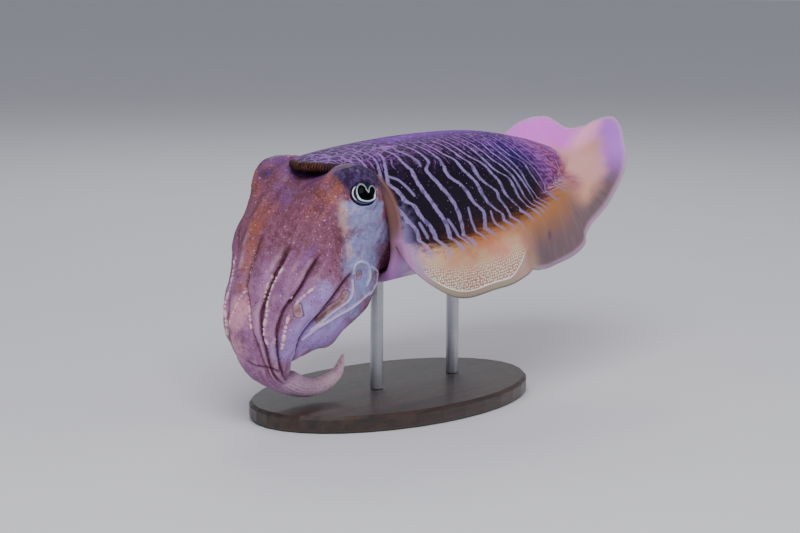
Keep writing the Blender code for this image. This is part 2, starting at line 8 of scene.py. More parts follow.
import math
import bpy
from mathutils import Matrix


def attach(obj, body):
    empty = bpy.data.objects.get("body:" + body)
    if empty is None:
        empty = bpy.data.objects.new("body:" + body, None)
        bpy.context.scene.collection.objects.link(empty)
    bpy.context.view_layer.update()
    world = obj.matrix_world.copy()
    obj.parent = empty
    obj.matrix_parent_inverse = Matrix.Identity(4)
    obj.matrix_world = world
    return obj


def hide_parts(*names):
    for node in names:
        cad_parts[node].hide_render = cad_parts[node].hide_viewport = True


bl_info = {
    "name": "Cuttlefish Dresser",
    "version": (1, 0, 0),
    "blender": (4, 5, 0),
    "location": "3D View > Sidebar > Cuttlefish",
    "description": "Models the skins, eyes, suckers and stand of a life-size cuttlefish",
    "category": "Object",
}

from types import SimpleNamespace

import bmesh
import bpy
import numpy as np
from bpy.props import FloatProperty, FloatVectorProperty, PointerProperty
from mathutils import Matrix, Vector

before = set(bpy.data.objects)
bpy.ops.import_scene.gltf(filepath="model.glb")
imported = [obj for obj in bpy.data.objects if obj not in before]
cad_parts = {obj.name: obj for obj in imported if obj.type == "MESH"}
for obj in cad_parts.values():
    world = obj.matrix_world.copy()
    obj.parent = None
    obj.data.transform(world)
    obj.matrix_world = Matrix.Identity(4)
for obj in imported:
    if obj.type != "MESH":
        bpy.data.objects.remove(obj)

MM = 0.001
# Where the body's own frame stands over the stand
BODY_SHIFT = np.array([-62.0, 0.0, 104.0])

# Mantle, as (place along the body, size) in millimetres
MANTLE_LENGTH = 184.0
MANTLE_BACK = ((0, 15.5), (22, 19.0), (54, 21.5), (85, 22.5), (118, 21.5), (147, 16.5), (170, 10.0),
               (184, 4.5))
MANTLE_BELLY = ((0, -46), (24, -44.5), (36, -42.5), (52, -41), (78, -39), (105, -32), (140, -20),
                (168, -7), (184, 3.0))
MANTLE_HALF_WIDTH = ((0, 35), (22, 39), (55, 43), (85, 42), (115, 36), (145, 26.5), (165, 21), (184, 17))
MANTLE_TAIL_FROM = 148.0
# How the rings of the mantle close up towards the tail
TAIL_POWER = 1.1
FIN_LINE = ((0, -19), (20, -20), (60, -21), (100, -16.5), (140, -8.5), (165, -2.0), (184, 3.5))
# How far back the mantle's front edge lies, by degrees from the back's middle line
MANTLE_RIM = ((0, 0.0), (12, 3.5), (24, 11.5), (38, 19), (60, 22.5), (90, 23.5), (120, 26), (150, 33),
              (180, 38))
MANTLE_WALL = 4.0
MANTLE_INNER_WALL = 6.5
MANTLE_POWER = 2.25
COLLAR_FLOOR_X = 44.0
COLLAR_FLOOR_RISE = 5.0

# Fins
FIN_WIDTHS = {
    "left": ((23, 0.8), (26, 9), (30, 15.5), (42, 26.5), (56, 31), (70, 30), (80, 30.5), (90, 29.3), (96, 28.2),
             (103, 30), (118, 33.4), (128, 34.4), (134, 34), (137.5, 32.6), (140, 29.5), (145, 27.5),
             (162, 26.6), (170, 26.6), (176.6, 27.8), (179, 28.8), (181, 30.4), (182.5, 33.4), (183.4, 34.0),
             (183.9, 28.0), (184, 22.8)),
    "right": ((23, 0.8), (26, 8), (30, 14.5), (42, 21), (60, 23), (82, 22), (100, 22), (128, 25), (150, 25.6),
              (160, 21.6), (166, 22.4), (171, 26.2), (175, 28.4), (179, 29.6), (181, 29.0), (182.5, 24.4),
              (183.4, 21.0), (183.9, 21.2), (184, 22.8)),
}
FIN_LIFTS = {
    "left": ((22, -60), (34, -76), (56, -80), (76, -74), (90, -60), (103, -76), (118, -78), (132, -68),
             (145, -46), (158, -36), (168, -24), (177, -2), (184, 53)),
    "right": ((22, -30), (45, 0), (70, 12), (95, -12), (120, -22), (145, 10), (162, 40), (174, 58),
              (184, 53)),
}
FIN_BEND = 0.45
FIN_ROOT_HALF = 1.7
FIN_EDGE_HALF = 0.32
FIN_FILLET = 2.8
# Most of the body's height that a fin's root takes up
FIN_ROOT_SHARE = 0.6
# Ripples of the fins' outer part: degrees, millimetres for a radian, shifts, and where they fade out
FIN_RIPPLE = 9.0
FIN_RIPPLE_LENGTH = 5.2
FIN_RIPPLE_SHIFT = {"left": 0, "right": 1.7}
FIN_RIPPLE_END = 150
FIN_RIPPLE_FADE = 40

# Pale lines across the mantle, each as (way down from the crest, place along the body)
STRIPES = (
    ((0, 7), (24, 6), (40, 2)),
    ((0, 12.5), (24, 12), (40, 6)),
    ((0, 18), (24, 18), (40, 12)),
    ((0, 24), (24, 23), (40, 18)),
    ((0, 30), (22, 31), (34, 27), (44, 23), (50, 25), (54.9, 28.5), (59.8, 32), (64.9, 36.3), (69.2, 37.7)),
    ((0, 35.5), (20, 36.5), (32, 31), (40.9, 26.8), (45.4, 30.1), (51.7, 33.2), (53.3, 36.3), (59.1, 39),
     (64.2, 43.7), (69.9, 47)),
    ((0, 41), (13.7, 40.8), (20.6, 43.2), (30.4, 42.8), (36.5, 44.3), (43, 43.6), (49.6, 45.2), (56.4, 48.5),
     (62.7, 52.6), (70.2, 55.6)),
    ((0, 53), (12, 55), (21.1, 57), (27.8, 57.7), (33.6, 57.3), (37.3, 52.3), (43.8, 54.2), (49.7, 56.8),
     (55.5, 60.2), (62.4, 62.3), (69.3, 64)),
    ((0, 60), (20, 62.5), (31.2, 64.4), (36.9, 63.9), (42.8, 63.2), (47.7, 68.3), (51.2, 70.9), (56.8, 73.8),
     (60.9, 79.1), (66.9, 80.1), (70, 79.5)),
    ((0, 65), (22.3, 68.2), (28.8, 69.7), (33.2, 73.2), (40, 74.4), (43.9, 77.1), (48.1, 79.5), (54.1, 81),
     (59.4, 86.6), (62.8, 95.4)),
    ((0, 72), (26.3, 77.1), (32.4, 78.4), (37.1, 81.6), (44.7, 82), (48.5, 85.8), (52, 92.2), (55.2, 92.6),
     (60.5, 98.5), (66, 103)),
    ((0, 77), (29, 82.4), (33.7, 85.3), (37.5, 90.3), (42.5, 92.7), (47.1, 96), (52.8, 98.1), (55.8, 103),
     (59.2, 111.3)),
    ((0, 84), (26.7, 90.7), (31.4, 91.6), (39.4, 94.4), (41.9, 97.6), (44.2, 104.1), (48.9, 107.2), (53.9, 110.8),
     (57, 118.3)),
    ((0, 90), (28.2, 95.5), (34.5, 98.1), (38.3, 102.9), (42.4, 107.3), (49.4, 112), (53.3, 116.3), (55, 122.3)),
    ((0, 97), (20, 101), (30, 102), (36, 107), (42, 113), (48, 119), (54, 127)),
    ((0, 103), (20, 106), (29.5, 107.7), (35.8, 112.4), (40.3, 116), (46.3, 119.5), (49.2, 125.1), (52, 132)),
    ((0, 108), (20, 110), (31.2, 113.8), (34.2, 122.3), (38.7, 124.3), (43.4, 131), (46, 138.7)),
    ((0, 114), (20, 117), (30, 121), (35, 129), (42, 138)),
    ((0, 120), (20, 123), (31.7, 128.9), (34.4, 136.8), (35.7, 144.7), (38, 148.8)),
    ((0, 127), (20, 131), (30, 141), (34, 150)),
    ((0, 134), (18, 139), (26, 147), (30, 155)),
    ((0, 141), (16, 147), (24, 156)),
    ((0, 149), (14, 156), (20, 163)),
)
# Short lines between them, as (place along the body, way down from the crest)
SPURS = (
    ((29.1, 37.0), (33.7, 40.1), (36.2, 44.4), (38.6, 49.2)),
    ((38.0, 62.0), (40.0, 65.5), (42.5, 69.5)),
    ((47.5, 19.0), (50.0, 25.0), (52.0, 31.5), (50.6, 35.0)),
    ((69.1, 59.3), (70.3, 65.3), (73.0, 70.1)),
    ((84.8, 61.5), (86.0, 65.0), (88.5, 67.5)),
    ((55.0, 63.0), (58.5, 67.5), (61.0, 71.0)),
    ((45.0, 9.0), (49.0, 14.0), (47.0, 19.0)),
)
STRIPE_GAP = 2.4
# Sway of the pale lines: size, length and seed of its waves, then where it fades over the crest
STRIPE_SWAY = 2.4
STRIPE_WAVES = (26, 5)
STRIPE_FADE = (12, 24)
# Depths inside the dark ground are held within this
GROUND_DEPTH = 40
# How far off the skin a line drawn on it may lie, in millimetres
LINE_DEPTH = 7.0
# How far down from the crest the dark ground reaches
GROUND_REACH = ((0, 50), (24, 67), (30, 73), (45, 76.5), (58.7, 75.3), (71.5, 72.5), (85, 69), (99, 67),
                (118.5, 60), (135.7, 50.5), (149.2, 41), (157.8, 30), (164, 16), (169, 2), (184, -30))

# Head: sections fan round a pivot under the throat, from the neck to the crown of arms
PIVOT = (38.0, -48.0)
NECK_TURN = 90.0
CROWN_TURN = 151.0
HEAD_NEAR = ((90, 11.5), (105, 10), (130, 11), (151, 12))
HEAD_FAR = ((90, 57), (104, 62), (118, 65), (132, 67), (151, 68))
HEAD_HALF_WIDTH = ((90, 33), (104, 32.5), (122, 31.5), (151, 31))
HEAD_POWER = 2.3
NECK_END_X = 43.2
# Bulges of the head, as (degrees off the crest, spread, turn of the fan, spread), then their heights
BROWS = ((41, 21, 118, 16), (33, 17, 118, 16))
BROW_RISES = (12.0, 9.5)
BROW_SWELLS = (5.5, 4.5)
EYE_BULGE = (64, 25, 123, 15)
EYE_RISE = 2.0
EYE_SWELL = 6.0
SADDLE = (0, 15, 116, 17)
SADDLE_DROP = 1.5
# The swell under the arms: its turn from the crest, where it begins on the fan, and its spread
KEEL_TURN = 140.0
KEEL_FROM = 112
SWELL_SPREAD = 30
# Where the rings of the head's skin pass from the crown's face to the head, the neck and its end
HEAD_FROM = 0.25
NECK_FROM = 0.9
NECK_END = 0.95
NECK_SHARE = 0.05
# Lips on the crown's face, as (share of the way out, height)
LIPS = ((0, 0.0), (0.08, 0.0), (0.16, 3.5), (0.24, 3.5), (0.30, 0.0), (1.0, 0.0))
# Millimetres along the head's skin for a radian of the fan
FAN_REACH = 40

# Eyes
EYE_RADIUS = 8.0
EYE_PLACE = (11.3, 29.9, 2.5)
EYE_FORWARD = math.radians(32)
EYE_UP = math.radians(6)
# Middle and half sizes of the opening, rightward and upward of the ball's axis
OPENING_MIDDLE = (0.2, 1.4)
OPENING_HALF = (5.9, 5.0)
OPENING_SCALE = 1.12
# The lids over the ball, lower and upper, and the skin pressed under it
LID_HEIGHTS = (0.45, 1.1)
LID_OUTER = 0.35
EYE_SINK = 0.8
# How far off the ball and round it the skin is still moved
LID_REACH = 14
LID_LEAN = 2.0
# Where the skin rises to the lid, eases off it and meets the head, as (share of the opening, span)
LID_STEPS = ((0.98, 0.17), (1.08, 0.42), (1.3, 0.5))

# Arms: eight, as sectors round one drooping line that ends in a hook
ARM_LINE = ((-9.7, -51.4), (-15.5, -62.0), (-16.5, -72.5), (-9.8, -80.8), (-0.6, -86.3), (10.0, -88.8),
            (19.2, -87.7), (26.3, -84.0), (30.3, -75.8))
CROWN_STRAIGHT = 13.0
BUNDLE_THICK = ((0, 28), (14, 27.5), (28, 25), (38, 20.2), (47, 12.8), (58, 7.4), (70, 5.2), (81, 4.0),
                (90.5, 3.3), (97.5, 2.6), (103, 1.8), (108, 0.9))
BUNDLE_WIDE = ((0, 31), (14, 31.5), (28, 28), (38, 22), (47, 15), (58, 8.8), (70, 5.6), (81, 4.2), (90.5, 3.4),
               (97.5, 2.6), (103, 1.8), (108, 0.9))
KEEL_SWELL = ((0, 0.19), (10, 0.15), (22, 0.03), (34, 0.0))
# How the crown swells and draws in at its front on the right side
CROWN_SWAY = ((-20, 0.0), (-14, -0.02), (-8, 0.0), (-2, 0.05), (4, 0.03), (12, -0.07), (20, -0.1), (32, -0.02),
              (42, 0.0))
CROWN_SWAY_TURN = -50.0
# Edges between a side's arms, as (place along the line, turn from the bundle's front)
ARM_BOUNDS = (
    ((0, 0), (23, 0), (34, 10), (42, 26), (50, 40)),
    ((0, 29), (7, 27.5), (17, 23.5), (33, 24), (38, 31), (43, 40), (55, 55)),
    ((0, 60), (7, 57), (20, 52), (29, 47), (36, 50), (42, 58), (50, 72)),
    ((0, 96), (12, 92), (23, 87), (29, 84), (36, 85), (42, 92), (50, 102), (58, 116)),
    ((0, 180), (50, 180)),
)
GROOVE_DEPTHS = (0.55, 1.25, 1.1, 1.45, 0.7)
# Where the arms begin and end along the line
ARM_ENDS = {"left": (64, 59, 57, 51.5), "right": (107.6, 61, 55, 50)}
ARMS = [(side, number, end) for side, ends in ARM_ENDS.items() for number, end in enumerate(ends)]
ARM_ROOT = -7.0
# Grooves in the skin: where they begin and are full, their half width, cut and ease
GROOVE_START = -3.0
GROOVE_FULL = 10.0
GROOVE_HALF = 0.6
GROOVE_CUT = 0.75
GROOVE_EASE = 9
# Where they fade out along the bundle, and over what length
GROOVE_END = 62
GROOVE_FADE = 10
HOOK_FROM = 52.0
HOOK_TO = 67.0
TIP_ROUND = 5.0
# Shares of an arm's rings that close its root and round its tip
ROOT_CAP = 0.02
TIP_FROM = 0.93
TIP_SHARE = 0.07
# How far an arm's outline lies inside the bundle's, how wide it laps over, and where its middle lies
ARM_INSET = 0.004
ARM_LAP = 1.012
ARM_MIDDLE = 0.68
# An arm's outline beyond this share is its face, which the grooves round off
ARM_FACE = 0.7
# How far the arms are drawn in at their roots, and over what length
ROOT_DRAW = 0.97
ROOT_EASE = 6
# Outline of an arm's section: (share of the way across its sector, share of the bundle's half width)
ARM_OUTLINE = ((-1.0, 0.82), (-0.80, 0.955), (-0.3, 1.0), (0.3, 1.0), (0.80, 0.955), (1.0, 0.82),
               (1.0, 0.62), (0.9, 0.42), (0.45, 0.36), (-0.45, 0.36), (-0.9, 0.42), (-1.0, 0.62))
# The corner number at the middle of its face
ARM_FRONT_CORNER = 2.5

# Funnel: middle line, then rings as (place along the line, radius), out to the mouth and back inside
FUNNEL_LINE = ((43.6, -31.0), (38.0, -32.6), (33.0, -38.6), (30.6, -47.0))
FUNNEL_RINGS = ((0, 0), (0, 4.0), (5, 4.1), (9, 4.0), (13, 3.8), (17, 3.5), (19.4, 3.4), (20, 3.0),
                (19.4, 2.6), (16, 2.6), (15.5, 0))

# Folds and ridges of the head's near side, each as (kind, height, half width, both sides, points)
FOLDS = (
    ("crest", 0.85, 0.85, True, ((-23.8, -16, -26.2), (-23.7, -17, -28), (-26.3, -15.4, -31),
                                 (-28.6, -14, -35.5), (-30.1, -13.4, -41.5), (-29.7, -14, -46.9),
                                 (-30.2, -12.9, -53.2), (-29.4, -12.6, -56.4), (-27.5, -12.6, -62))),
    ("crest", 0.9, 0.75, True, ((-14.9, -28.7, -35.2), (-21.1, -25.9, -40.2), (-23.5, -24, -43.2))),
    ("crest", 0.8, 0.8, True, ((-24.9, -22.2, -47.1), (-25.5, -20.7, -52.7), (-25.4, -18.8, -59.1),
                               (-24.4, -16.7, -64.2))),
    ("crest", 0.5, 0.65, True, ((-21.1, 0.4, -22), (-24.8, 0.4, -29.3), (-28.3, -0.1, -38.1),
                               (-32.4, -4.6, -47.9), (-33, -6.9, -55.2))),
    ("web", 0.9, 0.8, True, ((6.5, -30.1, -33), (5.9, -31.2, -28.9), (8.6, -32.2, -26.8), (13.8, -31.4, -28.3),
                             (15.9, -30.4, -34.1), (13.8, -30.4, -39.3))),
    ("web", 0.7, 0.8, True, ((15.4, -30.9, -29.3), (21.8, -28.9, -33.4), (22, -28.2, -38), (18.6, -28.8, -41.7),
                             (15.3, -30, -42.7), (8.8, -31, -45.6), (2.3, -30.1, -48.8), (-3.6, -28.4, -51.4),
                             (-10.2, -25.5, -54), (-13.7, -22.5, -57.9), (-15.6, -19, -61.2))),
    ("web", 0.8, 0.7, True, ((5.8, -29.7, -33.8), (5.9, -30.2, -38.4), (4, -30.5, -42.8), (-0.5, -29.6, -46.2),
                             (-5.6, -27.2, -49.7), (-10.9, -25.1, -53.2), (-14, -22.8, -56.2))),
    ("pocket", -1.0, 1.5, True, ((3.6, -29, -38.6), (0.4, -28.8, -43.4), (-5.6, -26.6, -47.8),
                                 (-11.4, -25.4, -51.4))),
    ("pocket", -0.4, 1.1, True, ((9.0, -31.4, -30.5), (9.2, -31, -35.5))),
    ("pocket", -0.5, 2.1, True, ((-22.7, -24.6, -41.8), (-22.0, -24.6, -45.5), (-21.2, -24.8, -49.0))),
    ("tuck", -0.9, 0.8, False, ((-31, 0, -71.5), (-30.2, -3.7, -73.2), (-28, -7.6, -74), (-24.9, -11, -74.6),
                                (-20, -11.5, -75.6))),
    ("plain", 0.9, 2.6, False, ((2.2, 4.7, 6.5), (-6.4, 9.2, 2.2), (-15.1, 11.2, -7.4), (-21.4, 8.8, -16.7),
                                (-28.4, 5.6, -31.1))),
    ("plain", 1.1, 2.8, True, ((25.8, -16.9, 16.7), (14.1, -17.7, 14.6), (4.4, -21.1, 11.9),
                               (-3.8, -23, 7.4), (-7.1, -22, 3))),
)
# Sway of the folds and of the colours, as (length, first seed, size)
FOLD_SWAY = (19, 31, 0.35)
COLOUR_SWAY = (23, 51, 1.6)
# How much of a tuck shows as a groove's painted shade
TUCK_SHARE = 0.55
# Wrinkles round the arms: how many, their height, and where they begin and are full
WRINKLES = 26
WRINKLE_HEIGHT = 0.09
WRINKLE_FROM = -12
WRINKLE_EASE = 26
# Fine relief of the skin, as (height, length, seed)
RELIEF = ((0.10, 6.0, 45), (0.04, 2.8, 46))
# Beads of a crest: pitch, mean height and sway
BEAD_PITCH = 2.7
BEAD_MEAN = 0.66
BEAD_SWAY = 0.34
# Patches of colour on the head by kind, each as (radius, strength, both sides, place)
PATCHES = {
    "orange": ((7.0, 0.8, False, (-14.4, 4.9, -6.0)), (7.5, 0.95, False, (-18.7, 4.9, -11.8)),
               (7.5, 0.95, False, (-22.8, 3.7, -19.0)), (7.5, 0.9, False, (-26.5, 3.1, -26.3)),
               (7.0, 0.85, False, (-30.4, 1.1, -37.3)), (6.0, 0.8, False, (-32.5, 1.1, -44.8)),
               (4.5, 0.9, True, (-2.3, -26.9, 8.4)), (6.0, 0.85, True, (-6.4, -25.8, 3.3)),
               (7.0, 0.5, True, (-10.0, -23.5, -4.0)), (6.0, 0.6, False, (-6.5, 19.0, 0.0))),
    "blue": ((8.5, 1.0, True, (6.0, -35.9, -6.5)), (8.0, 0.9, True, (15.0, -35.6, -6.0)),
             (9.0, 1.0, True, (14, -33.3, -16)), (8.0, 0.9, True, (6.0, -32.6, -19)),
             (7.0, 0.8, True, (21, -33.4, -14)), (8.5, 1.0, True, (15, -31, -26)),
             (8.0, 0.8, True, (5.5, -31, -28)), (9.0, 0.95, True, (13, -30.3, -36)),
             (8.0, 0.8, True, (6, -30.5, -45)), (8.0, 0.7, True, (-3, -28.6, -52)),
             (7.0, 0.45, True, (-8.5, -31, -37))),
    "pale": ((7.0, 0.7, True, (-10, -30.7, -39.4)), (8.0, 0.9, True, (-16.5, -27.7, -46.7)),
             (8.5, 1.0, True, (-17, -22, -57)), (8.0, 1.0, True, (-17, -17, -64)),
             (9.0, 1.0, True, (-8, -24, -60)), (8.0, 0.8, True, (-1, -27, -55)),
             (7.0, 0.6, True, (-25, -15, -68))),
    "rose": ((10.0, 1.0, False, (-33.5, 3, -50)), (8.0, 0.8, False, (-31, 3, -63))),
    "violet": ((12.0, 0.9, True, (8, -8, 12)), (10.0, 0.7, True, (-8, -2, 3)),
               (8.0, 0.7, True, (-14, -22, -22)), (7.0, 0.6, True, (-26, -18, -40)),
               (9.0, 1.0, False, (6, 20, 18))),
    "dusk": ((5.5, 1.0, True, (1.5, -29, 12.5)), (8.0, 1.0, True, (6.0, -29, 15.0)),
             (9.0, 1.0, True, (14.0, -28, 17)), (6.0, 0.7, False, (-1, 19, 9)),
             (6.0, 0.45, False, (4, 16, 16))),
}
# Where the dusk and blue round the eye end and fade, by reach and by the way back from its middle
ROUND_EYE = (17, 5)
ROUND_EYE_FRONT = (-8.0, 2.5)
# Where the arms' tips turn rosy along the bundle, and over what length
TIPS_FROM = 52
TIPS_EASE = 14
# Depth of a hollow that shows as full painted shade
CREASE_DEPTH = 0.45
CREAM_HALF = 2.4
CREAM_LINE = ((-3.4, -31.4, 3.6), (-2, -32.7, -4), (0.3, -32, -14.3), (2.2, -31.2, -25.4))

# Suckers: four rows down the inner face of each arm, as corners of its outline
SUCKER_ROWS = (7.75, 8.25, 8.75, 9.25)
SUCKER_FROM = 16.0
SUCKER_RADII = ((0, 1.0), (0.3, 1.25), (0.7, 0.85), (1.0, 0.4))
SUCKER_SIDES = 10
# Bare length at the tip, widest radius as a share of the bundle, and rows' pitch as a share of the radius
SUCKER_BARE = 2.5
SUCKER_WIDEST = 0.14
SUCKER_PITCH = 1.15
# Sizes differ at random by these factors
SUCKER_SPREAD = (0.92, 1.06)
SUCKER_SEED = 11
# Sections of a sucker, as (radius, height) in its own size
SUCKER_RINGS = ((0.62, -1.2), (0.62, 0.0), (1.0, 0.45), (0.98, 0.75), (0.7, 0.85), (0.5, 0.5), (0.2, 0.42))


# Shape helpers

def in_world(points):
    """Points of the body's own frame, in millimetres, moved over the stand and into metres."""
    return (np.asarray(points, float) + BODY_SHIFT) * MM


def smooth(share):
    """An ease from 0 to 1."""
    held = np.clip(share, 0.0, 1.0)
    return held * held * (3 - 2 * held)


def mix(low, high, share):
    """The value a share of the way from low to high."""
    return low + (high - low) * share


def hill(value, middle, spread):
    """A smooth bump of height 1."""
    return np.exp(-((value - middle) / spread) ** 2)


def ripples(points, length, seed, waves=9):
    """Smooth noise of about one wavelength, near -1 to 1, from waves that cross at random."""
    random = np.random.default_rng(seed)
    total = np.zeros(len(points))
    for _ in range(waves):
        way = random.normal(size=3)
        way *= 2 * math.pi / (length * random.uniform(0.7, 1.5)) / np.linalg.norm(way)
        total += np.sin(points @ way + random.uniform(0, 2 * math.pi))
    return total / math.sqrt(waves)


def swayed(points, length, seed, size):
    """Points moved off at random by smooth noise."""
    return points + np.stack([ripples(points, length, seed + axis) for axis in range(3)], axis=1) * size


def off_line(points, line, normals=None):
    """Distance of points from a chain of straight stretches, and how far along it they lie.

    With normals, the distance is measured over the skin, so that a line just off it still counts.
    """
    line = np.asarray(line, float)
    best, place, mark = np.full(len(points), 1e9), np.zeros(len(points)), 0.0
    for start, end in zip(line[:-1], line[1:]):
        way = end - start
        long = np.linalg.norm(way)
        share = np.clip((points - start) @ way / long ** 2, 0, 1)
        away = points - start - share[:, None] * way
        if normals is not None:
            deep = (away * normals).sum(axis=1)
            away = away - normals * (deep * (np.abs(deep) < LINE_DEPTH))[:, None]
        gap = np.linalg.norm(away, axis=1)
        closer = gap < best
        best[closer], place[closer] = gap[closer], mark + share[closer] * long
        mark += long
    return best, place, mark


def hermite(marks, values, place):
    """A smooth curve through values at marks, and its slope, both at an array of places."""
    marks, values = np.asarray(marks, float), np.asarray(values, float)
    held = np.clip(place, marks[0], marks[-1])
    piece = np.clip(np.searchsorted(marks, held, side="right") - 1, 0, len(marks) - 2)
    low, high = np.maximum(np.arange(len(marks)) - 1, 0), np.minimum(np.arange(len(marks)) + 1, len(marks) - 1)
    steps = marks[high] - marks[low]
    if values.ndim > 1:
        steps = steps[:, None]
    lean = (values[high] - values[low]) / steps
    span = marks[piece + 1] - marks[piece]
    one = (held - marks[piece]) / span
    if values.ndim > 1:
        span, one = span[..., None], one[..., None]
    start, end = values[piece], values[piece + 1]
    lean_start, lean_end = lean[piece] * span, lean[piece + 1] * span
    two, three = one ** 2, one ** 3
    value = (start * (2 * three - 3 * two + 1) + lean_start * (three - 2 * two + one)
             + end * (3 * two - 2 * three) + lean_end * (three - two))
    slope = (start * (6 * two - 6 * one) + lean_start * (3 * two - 4 * one + 1)
             + end * (6 * one - 6 * two) + lean_end * (3 * two - 2 * one)) / span
    return value, slope


def through(place, keys):
    """A smooth curve through (place, value) keys, held flat outside them."""
    return hermite([key[0] for key in keys], [key[1] for key in keys], np.asarray(place, float))[0]


def rounded(angle, power):
    """Cosine and sine of a superellipse, whose corners fill out as power grows."""
    def bend(value):
        return np.sign(value) * np.abs(value) ** (2 / power)
    return bend(np.cos(angle)), bend(np.sin(angle))


def stack(x, y, z):
    """Three coordinates as one array of points."""
    return np.stack(np.broadcast_arrays(x, y, z), axis=-1).astype(float)


# Mesh helpers

# Seams closer than this many millimetres are merged
SEAM = 0.02


def deselect():
    """Leaves nothing selected."""
    bpy.ops.object.select_all(action="DESELECT")


def pick(piece):
    """Makes one object the only selected one."""
    deselect()
    piece.select_set(True)
    bpy.context.view_layer.objects.active = piece


def vectors_of(items, key):
    """One vector of every item in a mesh's list."""
    flat = np.empty(len(items) * 3)
    items.foreach_get(key, flat)
    return flat.reshape(-1, 3)


def woven(name, columns, rings, place, values=None):
    """A grid primitive with each vertex moved to place(u, v), in millimetres, and its seams merged.

    values(u, v) gives named numbers that are kept on the vertices.
    """
    deselect()
    bpy.ops.mesh.primitive_grid_add(x_subdivisions=columns, y_subdivisions=rings, size=2)
    piece = bpy.context.object
    piece.name = name
    u, v = ((side + 1) / 2 for side in vectors_of(piece.data.vertices, "co")[:, :2].T)
    move_points(piece, place(u, v))
    if values:
        keep_values(piece, **values(u, v))
    bpy.ops.object.mode_set(mode="EDIT")
    bpy.ops.mesh.select_all(action="SELECT")
    bpy.ops.mesh.remove_doubles(threshold=SEAM * MM)
    bpy.ops.mesh.dissolve_degenerate(threshold=SEAM * MM / 2)
    bpy.ops.object.mode_set(mode="OBJECT")
    face_out(piece)
    return piece


def face_out(piece):
    """Turns a closed mesh's faces outwards."""
    work = bmesh.new()
    work.from_mesh(piece.data)
    if work.calc_volume(signed=True) < 0:
        bmesh.ops.reverse_faces(work, faces=work.faces)
        work.to_mesh(piece.data)
    work.free()
    piece.data.shade_smooth()


def keep_values(piece, **numbers):
    """Stores named numbers, one for each vertex, which a material reads."""
    for key, values in numbers.items():
        held = piece.data.attributes.new(key, "FLOAT", "POINT")
        held.data.foreach_set("value", np.asarray(values, np.float32).ravel())


def points_of(piece):
    """Vertices in the body's frame, in millimetres, and their normals."""
    mesh = piece.data
    return vectors_of(mesh.vertices, "co") / MM - BODY_SHIFT, vectors_of(mesh.vertex_normals, "vector")


def move_points(piece, places):
    """Sets a piece's vertices to places in the body's frame, in millimetres."""
    piece.data.vertices.foreach_set("co", in_world(places).ravel())
    piece.data.update()


def apply(piece, kind, **settings):
    """Adds a modifier, sets it and applies it."""
    pick(piece)
    made = piece.modifiers.new(kind.lower(), kind)
    for key, value in settings.items():
        setattr(made, key, value)
    bpy.ops.object.modifier_apply(modifier=made.name)


def join(name, pieces):
    """Several pieces as one object."""
    deselect()
    for piece in pieces:
        piece.select_set(True)
    bpy.context.view_layer.objects.active = pieces[0]
    bpy.ops.object.join()
    pieces[0].name = name
    return pieces[0]


def smoothed(piece, places, rounds):
    """The places after each vertex has moved to the middle of its neighbours a few times."""
    edges = np.empty(len(piece.data.edges) * 2, np.int64)
    piece.data.edges.foreach_get("vertices", edges)
    one, other = edges.reshape(-1, 2).T
    count = np.maximum(np.bincount(edges, minlength=len(places)), 1.0)[:, None]
    for _ in range(rounds):
        total = [np.bincount(one, column[other], len(places)) + np.bincount(other, column[one], len(places))
                 for column in places.T]
        places = np.stack(total, axis=1) / count
    return places


# Mantle and fins

MANTLE_BELLY_COLUMNS = 34
FIN_COLUMNS = 26
MANTLE_BACK_COLUMNS = 112
# Steps of a fin's slope in each of its columns
FIN_STEPS = 8
# Rings on the collar's floor, as shares of the way out from its middle
FLOOR_SHARES = (0.0, 0.45, 0.85)
INNER_RINGS = 9
LIP_RINGS = 9
FRONT_RINGS = len(FLOOR_SHARES) + INNER_RINGS + LIP_RINGS
BODY_RINGS = 236
# Millimetres to a fin's edge, as kept where there is no fin
NO_EDGE = 30.0


def fin_level(x):
    """Height of the line that the fins grow from."""
    return through(x, FIN_LINE)


def half_width(x):
    """Half the mantle's width, rounded in at the tail."""
    tail = np.clip((x - MANTLE_TAIL_FROM) / (MANTLE_LENGTH - MANTLE_TAIL_FROM), 0, 1)
    return through(x, MANTLE_HALF_WIDTH) * np.sqrt(1 - tail ** 2)


def mantle_section(x, turn, shrink=0.0):
    """The mantle's outside at x and a turn from the back's middle line, less a wall."""
    up, side = rounded(turn, MANTLE_POWER)
    level = fin_level(x)
    edge = np.where(up > 0, through(x, MANTLE_BACK), through(x, MANTLE_BELLY))
    height = np.maximum(0.0, np.abs(edge - level) - shrink)
    return stack(x, -np.maximum(0.0, half_width(x) - shrink) * side, level + height * up)


def rim_x(turn):
    """Where the mantle's front edge lies at a turn from the back's middle line."""
    return through(np.abs(np.degrees(turn)), MANTLE_RIM)


def body_x(share, turn):
    """How far back a ring of the mantle's outside lies, closer together towards the tail."""
    start = rim_x(turn) + MANTLE_WALL / 2
    return start + (MANTLE_LENGTH - start) * np.sin(share * math.pi / 2) ** TAIL_POWER


def root_heights(x):
    """How far over and under the fin line the fin's root reaches."""
    over = np.minimum(FIN_ROOT_HALF, FIN_ROOT_SHARE * (through(x, MANTLE_BACK) - fin_level(x)))
    under = np.minimum(FIN_ROOT_HALF, FIN_ROOT_SHARE * (fin_level(x) - through(x, MANTLE_BELLY)))
    return over, under


